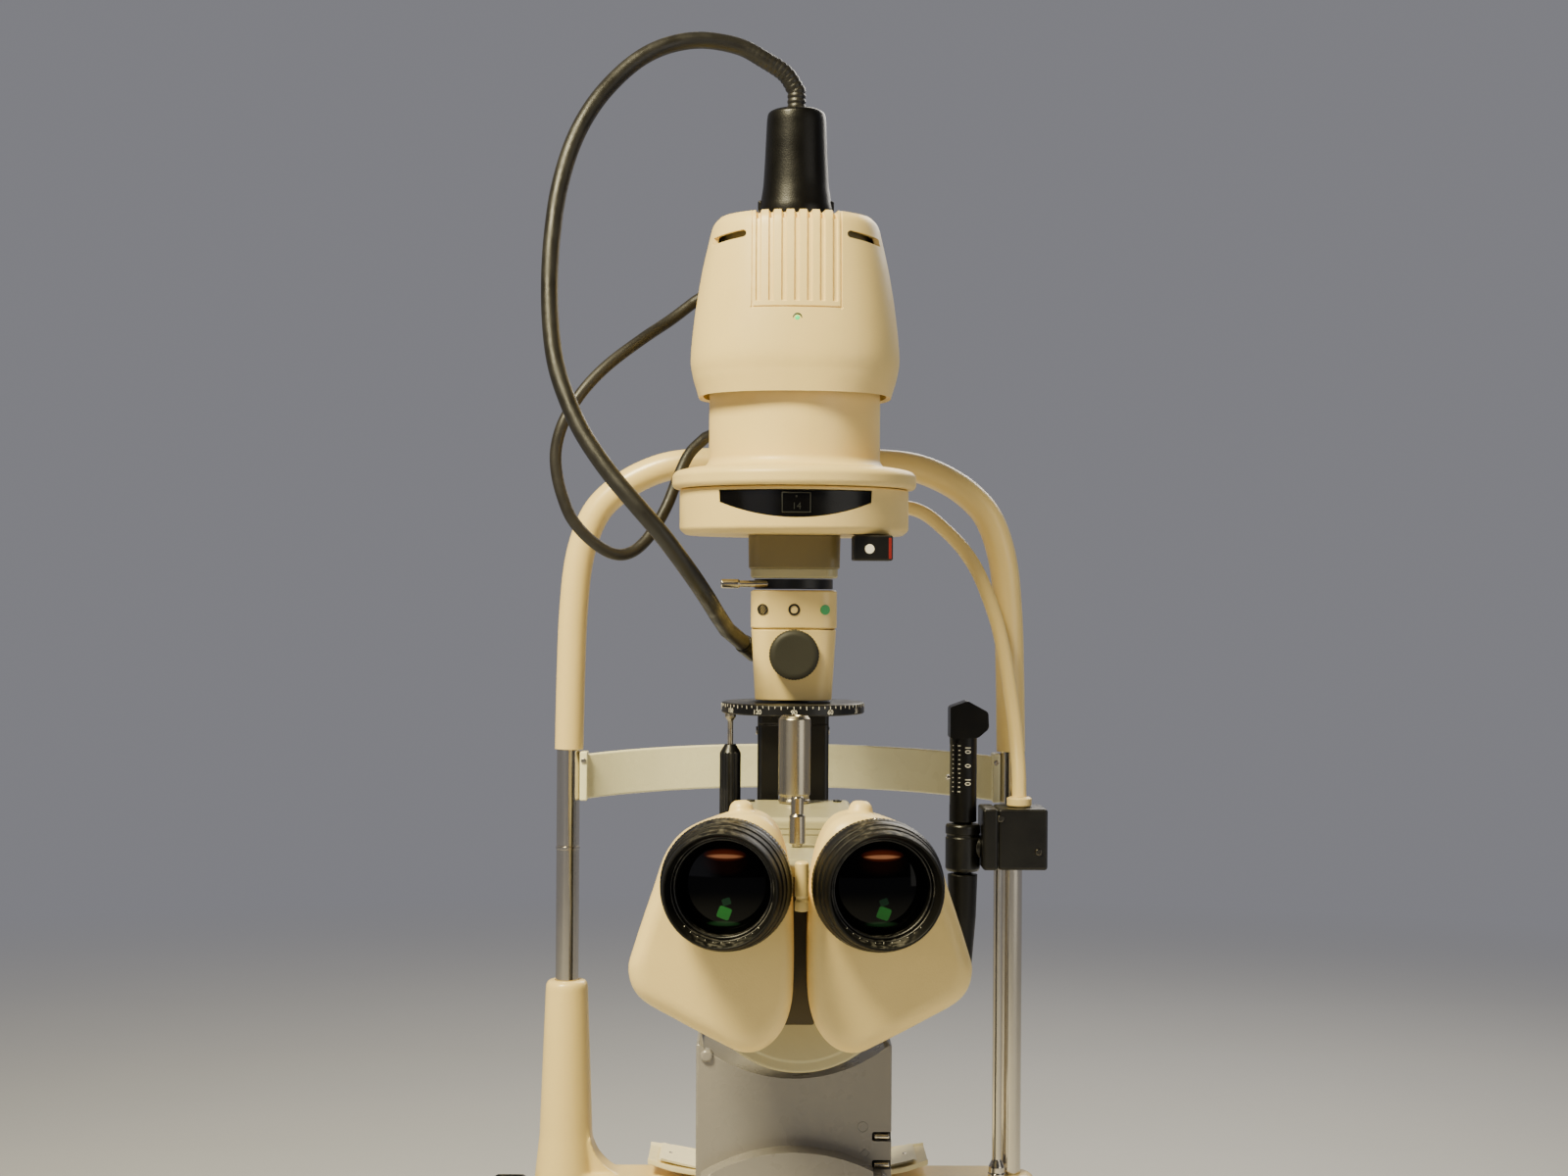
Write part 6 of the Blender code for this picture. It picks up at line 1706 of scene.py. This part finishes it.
# ---- microscope ---------------------------------------------------------------------------------
def make_scope():
    lower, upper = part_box("scope_body")
    radius = upper.x
    drum = turned([(0, 0.0), (radius - 0.0050, 0.0), (radius - 0.0042, 0.0006), (radius - 0.0008, 0.0006),
                   (radius, 0.0016), (radius, 0.0200), (radius - 0.0006, 0.0204),
                   (radius - 0.0006, 0.0214), (radius, 0.0218), (radius, 0.0860),
                   (radius - 0.0012, 0.0874), (0, 0.0874)], 0.0005, 160)
    drum = placed(drum, (0, lower.y, OPTIC_Z), (0, 1, 0))
    front = rod(0.0350, (0, -0.022, OPTIC_Z), (0, upper.y, OPTIC_Z), 128, 0.0015)
    top = brick((-0.0260, -0.0300, OPTIC_Z), (0.0260, upper.y, upper.z), 0.0024, 4)
    seat = brick((-0.0220, 0.0080, lower.z), (0.0220, upper.y, OPTIC_Z), 0.0010)
    bore = rod(0.0045, (-0.05, -0.055, OPTIC_Z), (0.05, -0.055, OPTIC_Z), 32)
    grooves = [brick((-0.0200, -0.0310, z), (0.0200, -0.0294, z + 0.0004), 0.0001, 1)
               for z in (0.4290, 0.4315)]
    # The housing's darker cream is painted shade.
    piece("scope_body_housing", carved(united(drum, front, top, seat), bore, *grooves), "shade", "scope",
          "scope_body")
    screws = [cap_screw((x, y, upper.z), (0, 0, 1), 0.0020, 0.0009) for x in (-0.020, 0.020)
              for y in (-0.020, 0.040)]
    piece("scope_cover_screws", merged(*screws), "black", "scope")

    start = low("objective").y
    ring = turned([(0.0205, 0.0090), (0.0212, 0.0118), (0.0268, 0.0132), (0.0288, 0.0120),
                   (0.0288, 0.0070), (0.0280, 0.0066), (0.0280, 0.0058), (0.0288, 0.0054), (0.0288, 0.0),
                   (0.0205, 0.0)], 0.0006, closed=True, ridges=(60, 0.0002, 0.0072, 0.0118))
    piece("objective_ring", placed(ring, (0, start, OPTIC_Z), (0, 1, 0)), "black", "scope", "objective")
    glass = lathe([(0, 0.0084)] + [(0.0207 * k / 10, 0.0084 - 0.0022 * (k / 10) ** 2) for k in range(1, 11)]
                  + [(0.0207, 0.0010), (0, 0.0010)], 72)
    piece("objective_glass", placed(glass, (0, start, OPTIC_Z), (0, 1, 0)), "window", "scope")

    lower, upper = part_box("magnification_knobs")
    middle = (lower + upper) / 2
    knobs = []
    for side in (LEFT, RIGHT):
        shape = lathe(knob_profile(0.0160, 0.0145, 0.0040, 0.0410), ridges=(36, 0.0006, 0.0009, 0.0136))
        knobs.append(placed(shape, (side * (upper.x - 0.0145), middle.y, OPTIC_Z), (side, 0, 0)))
    piece("magnification_knobs_fluted", merged(*knobs), "matt", "magnification", "magnification_knobs")
    pointers = [brick((side * (upper.x + SKIN / 2) - 0.0002, middle.y - 0.0004, OPTIC_Z + 0.0110),
                      (side * (upper.x + SKIN / 2) + 0.0001, middle.y + 0.0004, OPTIC_Z + 0.0142), 0.00004, 1)
                for side in (LEFT, RIGHT)]
    piece("magnification_pointers", merged(*pointers), "white", "magnification")
    make_posts()


def make_posts():
    """What stands on and beside the microscope's body, and a dark plate between the prisms whose olive tone
    is painted shade in the gap there.
    """
    lower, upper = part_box("tonometer_post")
    middle = (lower + upper) / 2
    radius = upper.x + 0.0004
    shape = turned([(0, upper.z - 0.0012), (radius - 0.0024, upper.z - 0.0012),
                    (radius - 0.0020, upper.z), (radius - 0.0014, upper.z), (radius, upper.z - 0.0016),
                    (radius, 0.4405), (radius - 0.0006, 0.4400), (radius - 0.0006, 0.4385),
                    (radius, 0.4380), (radius, lower.z), (0, lower.z)], 0.0004, 80)
    piece("tonometer_post_turned", placed(shape, (0, middle.y, 0)), "post", "scope", "tonometer_post")
    lower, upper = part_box("light_path_pin")
    middle = (lower + upper) / 2
    radius = upper.x
    shape = turned([(0, 0.4472), (0.0022, 0.4472), (0.0027, 0.4466), (0.0027, upper.z + 0.0002),
                    (radius - 0.0006, upper.z), (radius, upper.z - 0.0008), (radius, lower.z + 0.0012),
                    (radius - 0.0012, lower.z + 0.0010), (radius - 0.0012, lower.z), (0, lower.z)],
                   0.0003, 48)
    piece("light_path_plunger", placed(shape, (0, middle.y, 0)), "post", "scope", "light_path_pin")

    lower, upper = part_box("tube_lock_screw")
    y = lower.y + (upper.x - lower.x) / 2
    shape = turned([(0, upper.z), (0.0018, upper.z), (0.0026, upper.z - 0.0008), (0.0026, 0.4200),
                    (0.0022, 0.4195), (0.0022, 0.4185), (0.0026, 0.4180), (0.0026, 0.4145), (0, 0.4140)],
                   0.0003, 40)
    screw = placed(shape, (0, y, 0))
    web = brick((-0.0013, y, 0.4170), (0.0013, upper.y, 0.4230), 0.0004)
    piece("tube_lock", united(screw, web), "enamel", "scope", "tube_lock_screw")
    # A thin dark plate put in the gap between the prisms: painted shade of the recess.
    plate = slab(box_outline(0.0060, 0.0290, 0.0010, centre=(0, 0.3925)), low("scope_body").y - 0.0001,
                 low("scope_body").y + 0.001, plane="XZ")
    piece("prism_joint_plate", plate, "olive", "scope")


def make_camera_unit():
    lower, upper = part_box("camera_unit")
    half = upper.x
    bite = 0.0660
    bulge_y = lower.y
    face_y = upper.y - 0.035
    corner = 0.0040
    reach = math.degrees(math.asin(min(1.0, (half - 0.0010) / bite)))
    scoop = arc((0, OPTIC_Z), bite, 270 + reach, 270 - reach, 60)
    top = scoop[0].y
    outline = arc((half - corner, lower.z + corner), corner, 270, 360, 6)
    outline += [Vector((half, top - 0.0006)), *scoop, Vector((-half, top - 0.0006))]
    outline += arc((-half + corner, lower.z + corner), corner, 180, 270, 6)
    case = slab(outline, face_y, upper.y, 0.0024, 4, plane="XZ")
    crown = arc((0, 0.2130), 0.0765, 58, 122, 40)
    bulge = slab(crown + [Vector((-0.0400, lower.z + 0.0004)), Vector((0.0400, lower.z + 0.0004))],
                 bulge_y, face_y + 0.004, 0.0055, 5, plane="XZ")
    slots = []
    levels = (0.2936, 0.2812)
    for z in levels:
        outline = box_outline(0.0047, 0.0021, 0.0010, centre=(0.0392, z))
        slots.append(slab(outline, face_y - 0.02, face_y + 0.006, plane="XZ"))
    case = carved(united(case, bulge), *slots)
    piece("camera_case", case, "grey", "scope", "camera_unit")
    rim = arc((0, OPTIC_Z), bite + 0.0014, 270 - reach + 3, 270 + reach - 3, 60)
    lip = sweep([(p.x, face_y + 0.0012, p.y) for p in rim], 0.0012, 16)
    piece("camera_lip", lip, "grey", "scope", sharp=60)
    pits = [brick((0.0347, face_y + 0.0035, z - 0.0020), (0.0430, face_y + 0.0062, z + 0.0020), 0.0003)
            for z in levels]
    piece("camera_slot_liners", merged(*pits), "matt", "scope")
    plungers = [rod(0.0013, (0.0356, face_y + 0.0018, z - 0.0003), (0.0422, face_y + 0.0018, z - 0.0003),
                    28, 0.0005) for z in levels]
    piece("camera_plungers", merged(*plungers), "chrome", "scope")
    marks = [torus(0.0022, 0.00025, (0.0305, face_y, 0.2978), FRONT, 40, 8),
             torus(0.0020, 0.00025, (0.0315, face_y, 0.2862), FRONT, 4, 8)]
    piece("camera_marks", merged(*marks), "cast", "scope")
    lug = turned([(0, 0.0018), (0.0018, 0.0018), (0.0028, 0.0010), (0.0030, -0.004), (0, -0.004)], 0.0009, 40)
    piece("camera_lug", placed(lug, (-half + 0.0046, face_y, top - 0.0052), FRONT), "grey", "scope")


PRISM_OUTLINE = [       # the left housing seen by the examiner, from the middle of its inner side
    (-0.0026, 0.4030), (-0.0034, 0.4218), (-0.0064, 0.4370), (-0.0118, 0.4462), (-0.0205, 0.4492),
    (-0.0311, 0.4470), (-0.0443, 0.4412), (-0.0519, 0.4325), (-0.0564, 0.4199), (-0.0632, 0.3992),
    (-0.0655, 0.3888), (-0.0613, 0.3790), (-0.0478, 0.3708), (-0.0310, 0.3620), (-0.0215, 0.3580),
    (-0.0133, 0.3598), (-0.0068, 0.3666), (-0.0034, 0.3764), (-0.0026, 0.3880),
]


def make_prisms():
    shown = smooth(PRISM_OUTLINE, 6, closed=True)
    for side, name in ((LEFT, "left"), (RIGHT, "right")):
        lower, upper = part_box(f"prism_{name}")
        outline = [Vector((-side * p.x, p.y)) for p in shown]
        shell = pillow(outline, lower.y, upper.y, 0.0078, 0.0004)
        boss = turned([(0, 0.0135), (0.0028, 0.0135), (0.0044, 0.0118), (0.0050, 0.0085),
                       (0.0082, 0.0040), (0.0082, 0.0), (0, 0.0)], 0.0022, 48)
        boss = placed(boss, (side * 0.0222, lower.y + 0.017, 0.4396), (side * 0.08, 0.0, 1.0))
        shape = cast([shell, boss], (), 0.0008, 3)
        piece(f"prism_housing_{name}", shape, "cream", f"prism_{name}", f"prism_{name}", sharp=60)
        make_eyepiece(side, name)


def make_eyepiece(side, name):
    """One ocular, built along its own slanted axis."""
    joint = next(j for j in frame["joints"] if j["name"] == f"dioptre_{name}")
    aim = Vector(joint["axis"])
    start = Vector(joint["pos_m"]) - aim * 0.0139
    body = f"eyepiece_{name}"
    barrel = turned([(0.0176, 0.0250), (0.0181, 0.0256), (0.0186, 0.0250), (0.0186, 0.0200),
                     (0.0236, 0.0196), (0.0240, 0.0180), (0.0247, 0.0165), (0.0247, 0.0125),
                     (0.0240, 0.0120), (0.0234, 0.0118), (0.0234, 0.0108), (0.0232, 0.0104),
                     (0.0232, 0.0070), (0.0178, 0.0066), (0.0178, 0.0021), (0.0168, 0.0021)], 0.0005,
                    closed=True, ridges=(96, 0.0002, 0.0124, 0.0166))
    piece(f"ocular_barrel_{name}", placed(barrel, start, aim), "black", body, body)
    cup = turned([(0.0187, 0.0205), (0.0187, 0.0262), (0.0192, 0.0276), (0.0195, 0.0304),
                  (0.0198, 0.0326), (0.0204, 0.0345), (0.0211, 0.0345), (0.0217, 0.0328),
                  (0.0221, 0.0290), (0.0227, 0.0284), (0.0231, 0.0240), (0.0236, 0.0236),
                  (0.0238, 0.0200)], 0.0006, 120, closed=True)
    piece(f"eye_cup_{name}", placed(cup, start, aim), "rubber", body, sharp=50)
    inner = merged(torus(0.0181, 0.0005, start + aim * 0.0256, aim, 96),
                   torus(0.0190, 0.0003, start + aim * 0.0276, aim, 96))
    piece(f"ocular_bezel_{name}", inner, "black", body)
    curve = 0.0026
    reach = 0.0178
    glass = lathe([(0, 0.0220 + curve)]
                  + [(reach * k / 12, 0.0220 + curve * (1 - (k / 12) ** 2)) for k in range(1, 13)]
                  + [(reach, 0.0100), (0, 0.0100)], 96)
    centre = start + aim * 0.0225
    # The ocular's glass carries painted reflections.
    LOOKS[f"ocular_{name}"] = coated_glass(f"coated_glass_{name}", centre, side)
    piece(f"ocular_glass_{name}", placed(glass, start, aim), f"ocular_{name}", body)

    across = Vector((0, 0, 1)).cross(aim).normalized()
    ticks = []
    for k in range(-5, 6):
        angle = math.radians(-90 + 9 * k)
        out = across * math.cos(angle) + Vector((0, 0, 1)) * math.sin(angle)
        tall = 0.0006 if k % 5 else 0.0010
        place = start + aim * 0.0291 + out * 0.01945
        tick = brick((-0.0001, -tall / 2, -0.0001), (0.0001, tall / 2, 0.00015), 0.00003, 1)
        tick.transform(Matrix.Translation(place) @ Matrix((aim.cross(out), out, aim)).transposed().to_4x4())
        ticks.append(tick)
    piece(f"ocular_ticks_{name}", merged(*ticks), "white", body)
    angle = math.radians(28 if side == LEFT else 92)
    out = Vector((math.cos(angle), 0, math.sin(angle)))
    screw = cap_screw(start + aim * 0.0145 + out * 0.0240, out, 0.0014, 0.0009)
    piece(f"ocular_set_screw_{name}", screw, "chrome", body)


make_camera()
make_studio()
make_cords()
make_board()
make_headrest()
make_chinrest()
make_fixation()
make_cross_slide()
make_base()
make_arms()
make_tower_column()
make_tower_head()
make_lamp_cover()
make_lamp_housing()
make_scope()
make_camera_unit()
make_prisms()
